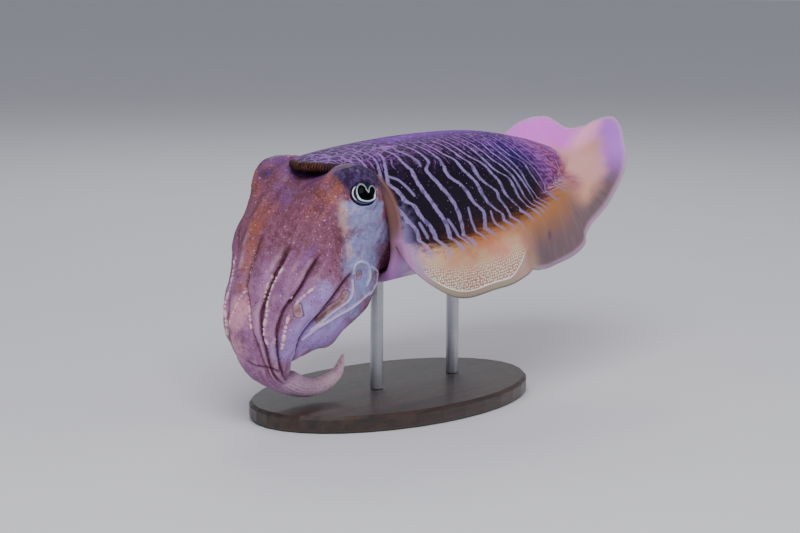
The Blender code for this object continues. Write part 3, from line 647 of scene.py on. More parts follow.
def fin_sheet(which):
    """Middle surface of a fin as rings by columns of points, with its normals and widths."""
    x = body_x(np.linspace(0, 1, BODY_RINGS + 1), math.pi / 2)
    root = mantle_section(x, np.full_like(x, math.pi / 2))
    along = np.gradient(root, axis=0)
    along[-1] = (0, 1, 0)
    flat = along[:, :2] / np.linalg.norm(along[:, :2], axis=1)[:, None]
    out = stack(flat[:, 1], -flat[:, 0], 0)
    out = out / np.linalg.norm(out, axis=1)[:, None]
    width = through(x, FIN_WIDTHS[which])
    lift = np.radians(through(x, FIN_LIFTS[which]))
    steps = FIN_COLUMNS * FIN_STEPS
    place = (np.arange(steps) + 0.5) / steps
    ripple = FIN_RIPPLE * np.sin(x / FIN_RIPPLE_LENGTH + FIN_RIPPLE_SHIFT[which])
    ripple = ripple * smooth((FIN_RIPPLE_END - x) / FIN_RIPPLE_FADE)
    slope = lift[:, None] * smooth(place / FIN_BEND) + np.radians(ripple)[:, None] * smooth((place - 0.45) / 0.5)
    reach, rise = (np.cumsum(width[:, None] / steps * part(slope), axis=1)[:, FIN_STEPS - 1::FIN_STEPS]
                   for part in (np.cos, np.sin))
    reach, rise = (np.concatenate([np.zeros((len(x), 1)), part], axis=1) for part in (reach, rise))
    sheet = root[:, None, :] + out[:, None, :] * reach[..., None]
    sheet[..., 2] += rise
    normal = np.cross(np.gradient(sheet, axis=1), np.gradient(sheet, axis=0))
    normal /= np.maximum(np.linalg.norm(normal, axis=2), 1e-9)[..., None]
    normal *= np.sign(normal[:, :1, 2:3] + 1e-9)
    if which == "right":
        sheet, normal = sheet * (1, -1, 1), normal * (1, -1, 1)
    return sheet, normal, width


def column_plan():
    """For each column round the body: its kind, share of the kind's turn, face, and share across a fin."""
    steps = 2 * FIN_COLUMNS + 1
    belly, back = MANTLE_BELLY_COLUMNS, MANTLE_BACK_COLUMNS

    def fin(which, face):
        out = [(which, (k + 0.5) / steps, face, k / FIN_COLUMNS) for k in range(FIN_COLUMNS + 1)]
        home = [(which, 1 - share, -face, across) for _, share, _, across in out[-2::-1]]
        return out + home

    return ([("belly_right", k / belly, 0, 0.0) for k in range(belly)] + fin("right", -1)
            + [("back", k / back, 0, 0.0) for k in range(1, back)] + fin("left", 1)
            + [("belly_left", k / belly, 0, 0.0) for k in range(1, belly + 1)])


def root_turns(x):
    """Turns from the back's middle line at which the fin's root begins and ends."""
    over, under = root_heights(x)
    power = MANTLE_POWER / 2
    tall = np.maximum(through(x, MANTLE_BACK) - fin_level(x), 0.05)
    deep = np.maximum(fin_level(x) - through(x, MANTLE_BELLY), 0.05)
    return np.arccos((over / tall) ** power), math.pi - np.arccos((under / deep) ** power)


def column_turns(kinds, shares, x):
    """Turn of each column from the back's middle line, round the fins' roots at x."""
    over, under = (float(turn) for turn in root_turns(x))
    ends = {"belly_right": (-math.pi, -under), "right": (-under, -over), "back": (-over, over),
            "left": (over, under), "belly_left": (under, math.pi)}
    return np.array([mix(*ends[kind], share) for kind, share in zip(kinds, shares)])


def collar_ring(ring, turn):
    """A ring of the collar: its floor, counted from the middle, then its inner wall and rolled lip."""
    if ring < len(FLOOR_SHARES):
        middle = np.array([COLLAR_FLOOR_X, 0, float(fin_level(COLLAR_FLOOR_X)) + COLLAR_FLOOR_RISE])
        floor = mantle_section(np.full_like(turn, COLLAR_FLOOR_X), turn, MANTLE_INNER_WALL)
        return mix(middle, floor, FLOOR_SHARES[ring])
    ring, rim = ring - len(FLOOR_SHARES), rim_x(turn)
    if ring < INNER_RINGS:
        part = ring / INNER_RINGS
        x = mix(COLLAR_FLOOR_X, rim + MANTLE_WALL / 2, part)
        return mantle_section(x, turn, mix(MANTLE_INNER_WALL, MANTLE_WALL, part))
    bend = (ring - INNER_RINGS) / LIP_RINGS * math.pi
    x = rim + MANTLE_WALL / 2 * (1 - math.sin(bend))
    return mantle_section(x, turn, MANTLE_WALL / 2 * (1 + math.cos(bend)))


def body_ring(ring, turn, columns, sheets):
    """A ring of the mantle's outside, counted from its front edge, with the fins let in."""
    kinds, _, faces, across = columns
    place = mantle_section(body_x(ring / BODY_RINGS, turn), turn)
    high, low = root_heights(body_x(ring / BODY_RINGS, math.pi / 2))
    for which, (sheet, normal, width) in sheets.items():
        mine = kinds == which
        cut = across[mine]
        column = np.round(cut * FIN_COLUMNS).astype(int)
        root_half = np.where(faces[mine] > 0, high, low)
        half = FIN_EDGE_HALF + (root_half - FIN_EDGE_HALF) * np.exp(-cut * width[ring] / FIN_FILLET)
        half = half * np.sqrt(np.maximum(0, 1 - cut ** 10))
        place[mine] = sheet[ring, column] + normal[ring, column] * (half * faces[mine])[:, None]
    if ring == BODY_RINGS:
        place[faces == 0] = (MANTLE_LENGTH, 0, float(fin_level(MANTLE_LENGTH)))
    return place


def mantle_grid():
    """Points of the mantle's and fins' skin as rings by columns, and their named numbers."""
    sheets = {which: fin_sheet(which) for which in FIN_WIDTHS}
    columns = kinds, shares, faces, across = [np.array(part) for part in zip(*column_plan())]
    is_fin = faces != 0
    crest = list(kinds).index("back") + MANTLE_BACK_COLUMNS // 2 - 1
    rings, numbers = [], []
    for ring in range(FRONT_RINGS + BODY_RINGS + 1):
        back = max(0, ring - FRONT_RINGS)
        turn = column_turns(kinds, shares, body_x(back / BODY_RINGS, math.pi / 2))
        place = collar_ring(ring, turn) if ring < FRONT_RINGS else body_ring(back, turn, columns, sheets)
        gaps = np.linalg.norm(np.diff(place, axis=0), axis=1) * ~(is_fin[1:] & is_fin[:-1])
        far = np.concatenate([[0], np.cumsum(gaps)])
        widths = np.array([sheets[kind][2][back] if kind in sheets else 0.0 for kind in kinds])
        on_fin = is_fin & (ring >= FRONT_RINGS)
        rings.append(place)
        numbers.append({
            "down": np.abs(far - far[crest]) * np.where(turn >= 0, 1, -1),
            "fin": across * on_fin,
            "edge": np.where(on_fin, (1 - across) * widths, NO_EDGE),
            "out": across * widths,
            "under": np.where(is_fin, faces < 0, np.abs(turn) > math.pi / 2).astype(float),
            "lip": np.full(len(kinds), 1.0 - smooth((ring - FRONT_RINGS + 1.0) / 4)),
            "rim": place[:, 0] - rim_x(turn),
            "along": place[:, 0],
        })
    rings = np.array(rings)
    numbers = {key: np.array([row[key] for row in numbers]) for key in numbers[0]}
    return rings, {**numbers, **stripe_numbers(rings, numbers["along"], numbers["down"], numbers["out"])}


def stripe_numbers(rings, along, down, out):
    """Stripe number, gap from stripe to stripe, way to a short stripe, and depth inside the dark ground."""
    far = np.abs(down)
    sway = ripples(rings.reshape(-1, 3), *STRIPE_WAVES).reshape(down.shape)
    along = along + STRIPE_SWAY * sway * smooth((STRIPE_FADE[0] - down) / STRIPE_FADE[1])
    lines = np.stack([through(far, keys) for keys in STRIPES], axis=-1)
    for k in range(1, len(STRIPES)):
        lines[..., k] = np.maximum(lines[..., k], lines[..., k - 1] + STRIPE_GAP)
    gaps = np.diff(lines, axis=-1)
    phase = np.clip((along[..., None] - lines[..., :-1]) / gaps, 0, 1).sum(axis=-1)
    low = np.clip(np.floor(phase - 0.5).astype(int), 0, gaps.shape[-1] - 2)
    near, next_one = (np.take_along_axis(gaps, (low + step)[..., None], axis=-1)[..., 0] for step in (0, 1))
    flat = np.stack([along.ravel(), far.ravel()], axis=-1)
    spur = np.min([off_line(flat, line)[0] for line in SPURS], axis=0)
    return {"phase": phase, "gap": mix(near, next_one, np.clip(phase - 0.5 - low, 0, 1)),
            "spur": spur.reshape(down.shape),
            "inside": np.clip(through(along, GROUND_REACH) - far - out, -GROUND_DEPTH, GROUND_DEPTH)}


def make_mantle_skin():
    """The mantle with its collar and fins as one woven skin."""
    rings, numbers = mantle_grid()
    tall, wide = rings.shape[0] - 1, rings.shape[1] - 1

    def cell(u, v):
        return np.round(v * tall).astype(int), np.round(u * wide).astype(int)

    return woven("mantle_skin", wide, tall, lambda u, v: rings[cell(u, v)],
                 lambda u, v: {key: grid[cell(u, v)] for key, grid in numbers.items()})


# Head

# Columns and rings of its parts before they become one skin, and an arm's rings for a millimetre
HEAD_GRID = (150, 190)
ARM_COLUMNS = 96
ARM_FINENESS = 2
FUNNEL_GRID = (32, 40)
# Rounds of smoothing: over all the skin and its share, at the crown's seam and its width, and for hollows
SKIN_ROUNDS = 2
SKIN_SHARE = 0.85
CROWN_ROUNDS = 12
CROWN_SEAM = 3.5
HOLLOW_ROUNDS = 14


def fan_point(degrees, reach, y):
    """A point at a turn and reach from the pivot under the throat."""
    turn = np.radians(degrees)
    return stack(PIVOT[0] + reach * np.cos(turn), y, PIVOT[1] + reach * np.sin(turn))


def middle_point(degrees):
    """The middle of the head's section at a turn of the fan."""
    return fan_point(degrees, float(through(degrees, HEAD_NEAR) + through(degrees, HEAD_FAR)) / 2, 0)


def crown_sway(degrees, place):
    """How much wider the crown of arms is at a turn and a place along the bundle."""
    return through(place, CROWN_SWAY) * hill(degrees, CROWN_SWAY_TURN, SWELL_SPREAD)


def head_surface(degrees, angle):
    """The head's skin at a turn of the fan and an angle from the crest, with brows and eye bulges."""
    near, far = through(degrees, HEAD_NEAR), through(degrees, HEAD_FAR)
    up, side = rounded(angle, HEAD_POWER)
    off = np.abs(np.degrees(angle))
    down_fan = smooth((degrees - KEEL_FROM) / (CROWN_TURN - KEEL_FROM))
    swell = (1 + KEEL_SWELL[0][1] * hill(off, KEEL_TURN, SWELL_SPREAD) * down_fan
             + crown_sway(np.degrees(angle), np.radians(degrees - CROWN_TURN) * FAN_REACH))

    def bulge(middle, spread, turn, width):
        return hill(off, middle, spread) * hill(degrees, turn, width)

    left = np.asarray(angle) > 0
    brow, eye = np.where(left, *(bulge(*item) for item in BROWS)), bulge(*EYE_BULGE)
    reach = (near + far) / 2 + (far - near) / 2 * up * swell
    reach = reach + np.where(left, *BROW_RISES) * brow + EYE_RISE * eye - SADDLE_DROP * bulge(*SADDLE)
    y = -through(degrees, HEAD_HALF_WIDTH) * side * swell
    y = y + np.sign(y) * (np.where(left, *BROW_SWELLS) * brow + EYE_SWELL * eye)
    return fan_point(degrees, reach, y)


def head_place(u, v):
    """Mouth, crown face, then back over the head to the neck's end in the collar."""
    turn = (u * 2 - 1) * math.pi
    share = np.clip(v / HEAD_FROM, 0, 1)
    crown = bundle_point(np.zeros_like(u), share, turn, through(share, LIPS))
    over = head_surface(mix(CROWN_TURN, NECK_TURN, np.clip((v - HEAD_FROM) / (NECK_FROM - HEAD_FROM), 0, 1)), turn)
    end = mix(head_surface(np.full_like(u, NECK_TURN), turn), middle_point(NECK_TURN),
              np.clip((v - NECK_END) / NECK_SHARE, 0, 1)[:, None])
    end[:, 0] = mix(PIVOT[0], NECK_END_X, np.clip((v - NECK_FROM) / NECK_SHARE, 0, 1))
    return np.where((v < HEAD_FROM)[:, None], crown, np.where((v <= NECK_FROM)[:, None], over, end))


def line_points():
    """The drooping line's points: it leaves the crown square, then follows ARM_LINE."""
    start = middle_point(CROWN_TURN)
    turn = math.radians(CROWN_TURN)
    square = np.array([-math.sin(turn), 0, math.cos(turn)])
    return np.array([start, start + square * CROWN_STRAIGHT] + [np.array([x, 0, z]) for x, z in ARM_LINE])


LINE_POINTS = line_points()
LINE_MARKS = np.concatenate([[0], np.cumsum(np.linalg.norm(np.diff(LINE_POINTS, axis=0), axis=1))])


def bundle_frame(place):
    """Point, outward normal and direction of the bundle's middle line at an array of places."""
    point, line = hermite(LINE_MARKS, LINE_POINTS, place)
    line = line / np.linalg.norm(line, axis=-1)[..., None]
    before = np.minimum(place, 0.0)[..., None]
    return point + line * before, stack(line[..., 2], 0, -line[..., 0]), line


def bundle_point(place, share, turn, ahead=0.0):
    """A point of the bundle: share of its half width, at a turn from its front, moved ahead."""
    point, normal, line = bundle_frame(place)
    thick, wide = through(place, BUNDLE_THICK), through(place, BUNDLE_WIDE)
    off = np.abs((np.abs(np.degrees(turn)) + 180) % 360 - 180)
    share = share * (1 + through(place, KEEL_SWELL) * hill(off, KEEL_TURN, SWELL_SPREAD)
                     + crown_sway(np.degrees(turn), place))
    ahead_share, side_share = rounded(turn, HEAD_POWER)
    across = stack(0, wide * share * side_share, 0)
    return point + normal * (thick * share * ahead_share)[..., None] - across + line * np.asarray(ahead)[..., None]


def arm_edges(side, number, place):
    """Turns of an arm's two edges at an array of places, the left side being above nought."""
    low, high = (through(place, ARM_BOUNDS[number + step]) for step in (0, 1))
    if side == "left":
        return low, high
    return -high, low if number == 0 else -low


def arm_section(side, number, place, corner):
    """A point of one arm's outline at a place along the bundle and a corner number, and its middle."""
    outline = closed_curve(np.array(ARM_OUTLINE + ARM_OUTLINE[:1]), corner)
    across, share = outline[:, 0], outline[:, 1]
    low, high = arm_edges(side, number, place)
    middle, spread = np.radians((low + high) / 2), np.radians((high - low) / 2)
    depths = [GROOVE_DEPTHS[number], GROOVE_DEPTHS[number + 1]][::1 if side == "left" else -1]
    depth = mix(*depths, (across + 1) / 2) * smooth((place - GROOVE_START) / (GROOVE_FULL - GROOVE_START))
    share = np.where(share > ARM_FACE, 1 - (1 - share) * depth, share) - ARM_INSET
    share = share * mix(ROOT_DRAW, 1.0, smooth((place - ARM_ROOT) / ROOT_EASE))
    point = bundle_point(place, share, middle + across * spread * ARM_LAP)
    centre = bundle_point(place, np.full_like(place, ARM_MIDDLE), middle)
    if (side, number) == ("right", 0):
        free = smooth((place - HOOK_FROM) / (HOOK_TO - HOOK_FROM))[:, None]
        turn = (corner - ARM_FRONT_CORNER) / len(ARM_OUTLINE) * 2 * math.pi
        point = mix(point, bundle_point(place, np.ones_like(place), turn), free)
        centre = mix(centre, bundle_point(place, np.zeros_like(place), np.zeros_like(place)), free)
    return point, centre


def arm_place(side, number):
    """place(u, v) of one arm's closed skin, from its root inside the head to its tip."""
    def place(u, v):
        run = np.clip((v - ROOT_CAP) / (TIP_FROM - ROOT_CAP), 0, 1)
        over = np.clip((v - TIP_FROM) / TIP_SHARE, 0, 1) * math.pi / 2
        station = mix(ARM_ROOT, ARM_ENDS[side][number] - TIP_ROUND, run) + TIP_ROUND * np.sin(over)
        corners = len(ARM_OUTLINE)
        point, centre = arm_section(side, number, station, (u * corners) % corners)
        share = np.where(v < ROOT_CAP, v / ROOT_CAP, np.cos(over))
        return mix(centre, point, share[:, None])

    return place


def closed_curve(keys, corner):
    """A smooth closed curve through keys, at an array of corner numbers."""
    count = len(keys) - 1
    k = np.floor(corner).astype(int) % count
    t = (corner - np.floor(corner))[:, None]
    p0, p1, p2, p3 = (keys[(k + step) % count] for step in (-1, 0, 1, 2))
    return 0.5 * (2 * p1 + (p2 - p0) * t + (2 * p0 - 5 * p1 + 4 * p2 - p3) * t ** 2
                  + (3 * p1 - p0 - 3 * p2 + p3) * t ** 3)


def eye_frame(side):
    """Rightward, upward and outward directions of an eye, as seen from outside, and its middle."""
    level = math.cos(EYE_UP)
    out = Vector((-math.sin(EYE_FORWARD) * level, side * math.cos(EYE_FORWARD) * level, math.sin(EYE_UP)))
    right = Vector((0, 0, 1)).cross(out).normalized()
    centre = np.array([EYE_PLACE[0], side * EYE_PLACE[1], EYE_PLACE[2]])
    return np.array(right), np.array(out.cross(right)), np.array(out), centre


def eye_places(side, points):
    """Where points lie round an eye: rightward (backward on the animal), upward, outward and reach.

    The first two are measured along the ball's own surface, so that they fit its pattern.
    """
    right, up, out, centre = eye_frame(side)
    away = points - centre
    reach = np.maximum(np.linalg.norm(away, axis=1), 1e-6)
    scale = EYE_RADIUS / reach
    return (away @ right) * scale * -side, (away @ up) * scale, away @ out, reach


def funnel_place(u, v):
    """The funnel's skin, out to its mouth and back inside."""
    points = np.array([(x, 0, z) for x, z in FUNNEL_LINE])
    marks = np.concatenate([[0], np.cumsum(np.linalg.norm(np.diff(points, axis=0), axis=1))])
    rings = np.array(FUNNEL_RINGS, float)
    at = v * (len(rings) - 1)
    low = np.minimum(np.floor(at).astype(int), len(rings) - 2)
    place, radius = mix(rings[low], rings[low + 1], (at - low)[:, None]).T
    point, line = hermite(marks, points, place)
    line = line / np.linalg.norm(line, axis=-1)[:, None]
    turn = u * 2 * math.pi
    across = stack(line[:, 2], 0, -line[:, 0]) * np.cos(turn)[:, None] - stack(0, np.sin(turn), 0)
    return point + across * radius[:, None]


def open_eye(points, side):
    """Presses the skin under the eyeball inside its opening and rolls a lid round it."""
    across, up, out, reach = eye_places(side, points)
    wide, tall = OPENING_HALF
    level = (up - OPENING_MIDDLE[1]) / tall
    lean = np.arccos(np.clip(out / reach, -1, 1))
    ring = np.hypot((across - OPENING_MIDDLE[0]) / wide, level)
    ring = ring * lean / np.maximum(np.sin(lean), 1e-3) / OPENING_SCALE
    lid = EYE_RADIUS + mix(*LID_HEIGHTS, smooth(0.5 + level / (2 * np.maximum(ring, 0.2))))
    target = EYE_RADIUS - EYE_SINK
    rises = (lid, np.maximum(reach, lid), np.maximum(reach, EYE_RADIUS + LID_OUTER))
    for rise, (start, span) in zip(rises, LID_STEPS):
        target = mix(target, rise, smooth((ring - start) / span))
    near = (lean < LID_LEAN) & (reach < EYE_RADIUS + LID_REACH)
    scale = np.where(near, target / reach, 1.0)
    centre = eye_frame(side)[3]
    return centre + (points - centre) * scale[:, None]


# Places sampled along the bundle, and parts in which the points are taken to spare memory
FLOW_SAMPLES = 220
FLOW_PARTS = 24
# The skin's grain: radius round the bundle, and how far a millimetre along it counts
FLOW_RADIUS = 28
FLOW_STEP = 0.2


def head_flow(points):
    """Turn round the head or the arms' bundle, and place along it, at points of the skin."""
    samples = np.linspace(0, LINE_MARKS[-1], FLOW_SAMPLES)
    line, normal, _ = bundle_frame(samples)
    nearest = np.concatenate([np.argmin(((part[:, None, :] - line[None]) ** 2).sum(axis=2), axis=1)
                              for part in np.array_split(points, FLOW_PARTS)])
    away = points - line[nearest]
    ahead = (away * normal[nearest]).sum(axis=1) / through(samples[nearest], BUNDLE_THICK)
    side = -away[:, 1] / through(samples[nearest], BUNDLE_WIDE)
    degrees = np.degrees(np.arctan2(points[:, 2] - PIVOT[1], points[:, 0] - PIVOT[0])) % 360
    reach = np.hypot(points[:, 0] - PIVOT[0], points[:, 2] - PIVOT[1])
    near, far = through(degrees, HEAD_NEAR), through(degrees, HEAD_FAR)
    in_head = degrees < CROWN_TURN
    ahead = np.where(in_head, (reach - (near + far) / 2) / ((far - near) / 2), ahead)
    side = np.where(in_head, -points[:, 1] / through(degrees, HEAD_HALF_WIDTH), side)
    place = np.where(in_head, -np.radians(CROWN_TURN - degrees) * FAN_REACH, samples[nearest])
    # A section's corners are filled out, so its turns are found on the circle behind it
    side, ahead = (np.sign(part) * np.abs(part) ** (HEAD_POWER / 2) for part in (side, ahead))
    return np.arctan2(side, ahead), place


def near_groove(turn, place):
    """How near the skin is to a groove between two arms, from 0 to 1."""
    degrees, groove = np.degrees(turn), np.zeros(len(turn))
    for number, depth in enumerate(GROOVE_DEPTHS[:-1]):
        bound = through(place, ARM_BOUNDS[number])
        for edge in (bound, -bound)[:1 if number == 0 else 2]:
            gap = np.radians(np.abs(degrees - edge)) * through(place, BUNDLE_THICK)
            groove = np.maximum(groove, hill(gap, 0, GROOVE_HALF) * min(1.0, depth))
    return groove * smooth((place - GROOVE_START) / GROOVE_EASE) * smooth((GROOVE_END - place) / GROOVE_FADE)


def fold_head(points, normals, flow):
    """Raises the folds and ridges of the skin, and gives how strongly each kind shows."""
    turn, place = flow
    moved = swayed(points, *FOLD_SWAY)
    mirror = np.where(moved[:, 1:2] > 0, (1, -1, 1), 1)
    lift = np.zeros(len(points))
    shows = {kind: np.zeros(len(points)) for kind in ("crest", "web", "pocket", "tuck")}
    for kind, height, half, both, line in FOLDS:
        held, facing = (moved * mirror, normals * mirror) if both else (moved, normals)
        marks = np.arange(len(line))
        curve = hermite(marks, line, np.linspace(0, marks[-1], 4 * len(line)))[0]
        gap, way, long = off_line(held, curve, facing)
        body = hill(gap, 0, half) * smooth(np.minimum(way, long - way) / 2.0 + 0.25)
        if kind == "crest":
            body = body * (BEAD_MEAN + BEAD_SWAY * np.sin(way * 2 * math.pi / BEAD_PITCH + 2.0 * np.sin(way * 0.8)))
        lift += height * body
        if kind in shows:
            shows[kind] = np.maximum(shows[kind], body)
    wrinkles = np.sin(turn * WRINKLES + 1.5 * np.sin(place / 9.0) + 3 * ripples(points, 34, 44))
    relief = WRINKLE_HEIGHT * wrinkles * smooth((place - WRINKLE_FROM) / WRINKLE_EASE)
    for height, length, seed in RELIEF:
        relief = relief + height * ripples(points, length, seed)
    groove = near_groove(turn, place)
    lift = lift + relief - GROOVE_CUT * groove
    # How strongly the painted shade of grooves and tucks shows
    shows["groove"] = np.maximum(groove, shows.pop("tuck") * TUCK_SHARE)
    return points + normals * lift[:, None], shows


def head_colours(points, flow, shows, cavity):
    """Named strengths of colour over the head's skin."""
    moved = swayed(points, *COLOUR_SWAY)
    near = moved * (1, 0, 1) - stack(0, np.abs(moved[:, 1]), 0)
    colours = {}
    for kind, patches in PATCHES.items():
        gaps = [np.linalg.norm((near if both else moved) - np.array(place), axis=1) / radius
                for radius, _, both, place in patches]
        colours[kind] = np.max([patch[1] * hill(gap, 0, 1) for patch, gap in zip(patches, gaps)], axis=0)
    # Dark above the eye and blue below it, right up to the lids
    across, up, _, reach = eye_places(-1, near)
    up = up * reach / EYE_RADIUS
    round_eye = smooth((ROUND_EYE[0] - reach) / ROUND_EYE[1])
    round_eye = round_eye * smooth((across - ROUND_EYE_FRONT[0]) / ROUND_EYE_FRONT[1])
    colours["dusk"] = np.maximum(colours["dusk"], round_eye * smooth((up - 0.5) / 6))
    colours["dusk"] *= 1 - round_eye * smooth((1 - up) / 3) * 0.6
    colours["blue"] = np.maximum(colours["blue"], round_eye * smooth((1.0 - up) / 5) * 0.9)
    colours["cream"] = hill(off_line(near, CREAM_LINE)[0], 0, CREAM_HALF)
    # Painted shade in hollows and a painted highlight on ridges, from how far the skin lies under or over its
    # smoothed neighbours
    colours["crease"] = np.clip(cavity / CREASE_DEPTH, -1, 1)
    colours["tips"] = smooth((flow[1] - TIPS_FROM) / TIPS_EASE)
    return {**colours, **shows}


def make_head_skin(voxel):
    """The head, arms and funnel as one skin, with lids, folds and strengths of colour."""
    parts = [woven("head_part", *HEAD_GRID, head_place)]
    for side, number, end in ARMS:
        parts.append(woven("arm_part", ARM_COLUMNS, int(end * ARM_FINENESS), arm_place(side, number)))
    parts.append(woven("funnel_part", *FUNNEL_GRID, funnel_place))
    skin = join("head_skin", parts)
    apply(skin, "REMESH", mode="VOXEL", voxel_size=voxel, adaptivity=0.0)
    points, _ = points_of(skin)
    points = mix(points, smoothed(skin, points, SKIN_ROUNDS), SKIN_SHARE)
    # The seam of the crown's face with the arms is smoothed away
    start, _, line = (part[0] for part in bundle_frame(np.zeros(1)))
    seam = hill((points - start) @ line, -1.0, CROWN_SEAM)[:, None]
    points = mix(points, smoothed(skin, points, CROWN_ROUNDS), seam)
    for side in (-1, 1):
        points = open_eye(points, side)
    move_points(skin, points)
    points, normals = points_of(skin)
    flow = head_flow(points)
    points, shows = fold_head(points, normals, flow)
    move_points(skin, points)
    points, normals = points_of(skin)
    # How far the skin lies under its smoothed self, which sets the painted shade and highlight
    cavity = ((smoothed(skin, points, HOLLOW_ROUNDS) - points) * normals).sum(axis=1)
    keep_values(skin, **head_colours(points, flow, shows, cavity))
    turn, place = flow
    grain = stack(FLOW_RADIUS * np.cos(turn), FLOW_RADIUS * np.sin(turn), place * FLOW_STEP)
    held = skin.data.attributes.new("flow", "FLOAT_VECTOR", "POINT")
    held.data.foreach_set("vector", grain.astype(np.float32).ravel())
    return skin


# Eyes

# Lobes of the pupil, as (rightward, upward, half width, half height) from the opening's middle
PUPIL_LOBES = ((-1.2, 0.8, 1.85, 2.7), (3.75, 0.9, 1.35, 1.75), (1.3, -1.75, 2.9, 1.35), (-0.3, -0.6, 1.9, 1.9),
               (2.9, -0.8, 1.4, 1.3))
# How deep the pupil is sunk, and over what distance its lobes run together
PUPIL_DEPTH = 0.55
PUPIL_BLEND = 0.16
# The low rim round the pupil, as (height, distance from the edge, spread)
PUPIL_RIM = (0.1, 0.45, 0.4)
# How much closer together the ball's rings are at its front
RING_POWER = 1.6
EYE_SEGMENTS = 144
EYE_RINGS = 84


def off_pupil(across, up):
    """Rough distance outside the pupil's edge, below nought inside it."""
    gaps = [(np.hypot((across - x) / wide, (up - y) / tall) - 1) * min(wide, tall)
            for x, y, wide, tall in PUPIL_LOBES]
    return -np.log(sum(np.exp(-gap / PUPIL_BLEND) for gap in gaps)) * PUPIL_BLEND


def make_eye(name, side):
    """An eyeball with a sunken W of a pupil, its rings closer together at the front."""
    deselect()
    bpy.ops.mesh.primitive_uv_sphere_add(segments=EYE_SEGMENTS, ring_count=EYE_RINGS, radius=1)
    ball = bpy.context.object
    ball.name = name
    unit = vectors_of(ball.data.vertices, "co")
    lean = math.pi * (np.arccos(np.clip(unit[:, 2], -1, 1)) / math.pi) ** RING_POWER
    turn = np.arctan2(unit[:, 1], unit[:, 0])
    right, up_way, out, centre = eye_frame(side)
    way = (right * (np.sin(lean) * np.cos(turn))[:, None] + up_way * (np.sin(lean) * np.sin(turn))[:, None]
           + out * np.cos(lean)[:, None])
    across, up, _, _ = eye_places(side, centre + way * EYE_RADIUS)
    across, up = across - OPENING_MIDDLE[0], up - OPENING_MIDDLE[1]
    gap = np.where(lean < math.pi / 2, off_pupil(across, up), 5.0)
    reach = EYE_RADIUS - PUPIL_DEPTH * smooth((0.05 - gap) / 0.5) + PUPIL_RIM[0] * hill(gap, *PUPIL_RIM[1:])
    move_points(ball, centre + way * reach[:, None])
    keep_values(ball, pupil=gap, ring=np.hypot(across / OPENING_HALF[0], up / OPENING_HALF[1]),
                low=smooth(0.5 - up / 5.0), fore=hill(np.abs(np.arctan2(up, across)), math.pi, 0.75))
    face_out(ball)
    return ball


# Suckers

def make_sucker():
    """One sucker's cup on a stalk, of radius 1, standing along z."""
    deselect()
    (radius, foot), (_, height) = SUCKER_RINGS[:2]
    bpy.ops.mesh.primitive_cylinder_add(vertices=SUCKER_SIDES, radius=radius, depth=height - foot,
                                        location=(0, 0, (foot + height) / 2))
    cup = bpy.context.object
    cup.name = "sucker"
    for face in cup.data.polygons:
        face.select = face.normal.z > 0.5
    for edge in cup.data.edges:
        edge.select = False
    bpy.ops.object.mode_set(mode="EDIT")
    bpy.ops.mesh.select_mode(type="FACE")
    for next_radius, next_height in SUCKER_RINGS[2:]:
        bpy.ops.mesh.extrude_region_move(TRANSFORM_OT_translate={"value": (0, 0, next_height - height)})
        bpy.ops.transform.resize(value=(next_radius / radius, next_radius / radius, 1))
        radius, height = next_radius, next_height
    bpy.ops.object.mode_set(mode="OBJECT")
    return cup


def sucker_spots():
    """Place, outward direction and radius of every sucker."""
    random = np.random.default_rng(SUCKER_SEED)
    spots = []
    for side, number, end in ARMS:
        place, row = SUCKER_FROM, 0
        while place < min(end - SUCKER_BARE, HOOK_FROM):
            share = (place - SUCKER_FROM) / (end - SUCKER_FROM)
            radius = float(through(share, SUCKER_RADII)) * random.uniform(*SUCKER_SPREAD)
            radius = min(radius, SUCKER_WIDEST * float(through(place, BUNDLE_THICK)))
            for corner in (SUCKER_ROWS[row % 2], SUCKER_ROWS[row % 2 + 2]):
                section = arm_section(side, number, np.array([place]), np.array([corner]))
                point, centre = (part[0] for part in section)
                way = point - centre
                spots.append((point, way / np.linalg.norm(way), radius))
            place += radius * SUCKER_PITCH
            row += 1
    return spots


def make_suckers():
    """Copies of one sucker, each with its own mesh, joined as one piece."""
    first = make_sucker()
    copies = []
    for point, way, radius in sucker_spots():
        copy = first.copy()
        copy.data = first.data.copy()
        bpy.context.scene.collection.objects.link(copy)
        turned = Vector(way).to_track_quat("Z", "Y").to_matrix().to_4x4()
        home = Matrix.Translation(Vector(first.location))
        copy.data.transform(Matrix.Translation(in_world(point)) @ turned @ Matrix.Scale(radius * MM, 4) @ home)
        copy.location = (0, 0, 0)
        copies.append(copy)
    bpy.data.objects.remove(first)
    piece = join("suckers", copies)
    piece.data.shade_smooth()
    return piece


# Materials

def tint(code):
    """A colour written as six hex digits, as linear light."""
    parts = [int(code[k:k + 2], 16) / 255 for k in (0, 2, 4)]
    return tuple(part / 12.92 if part <= 0.04045 else ((part + 0.055) / 1.055) ** 2.4 for part in parts) + (1.0,)


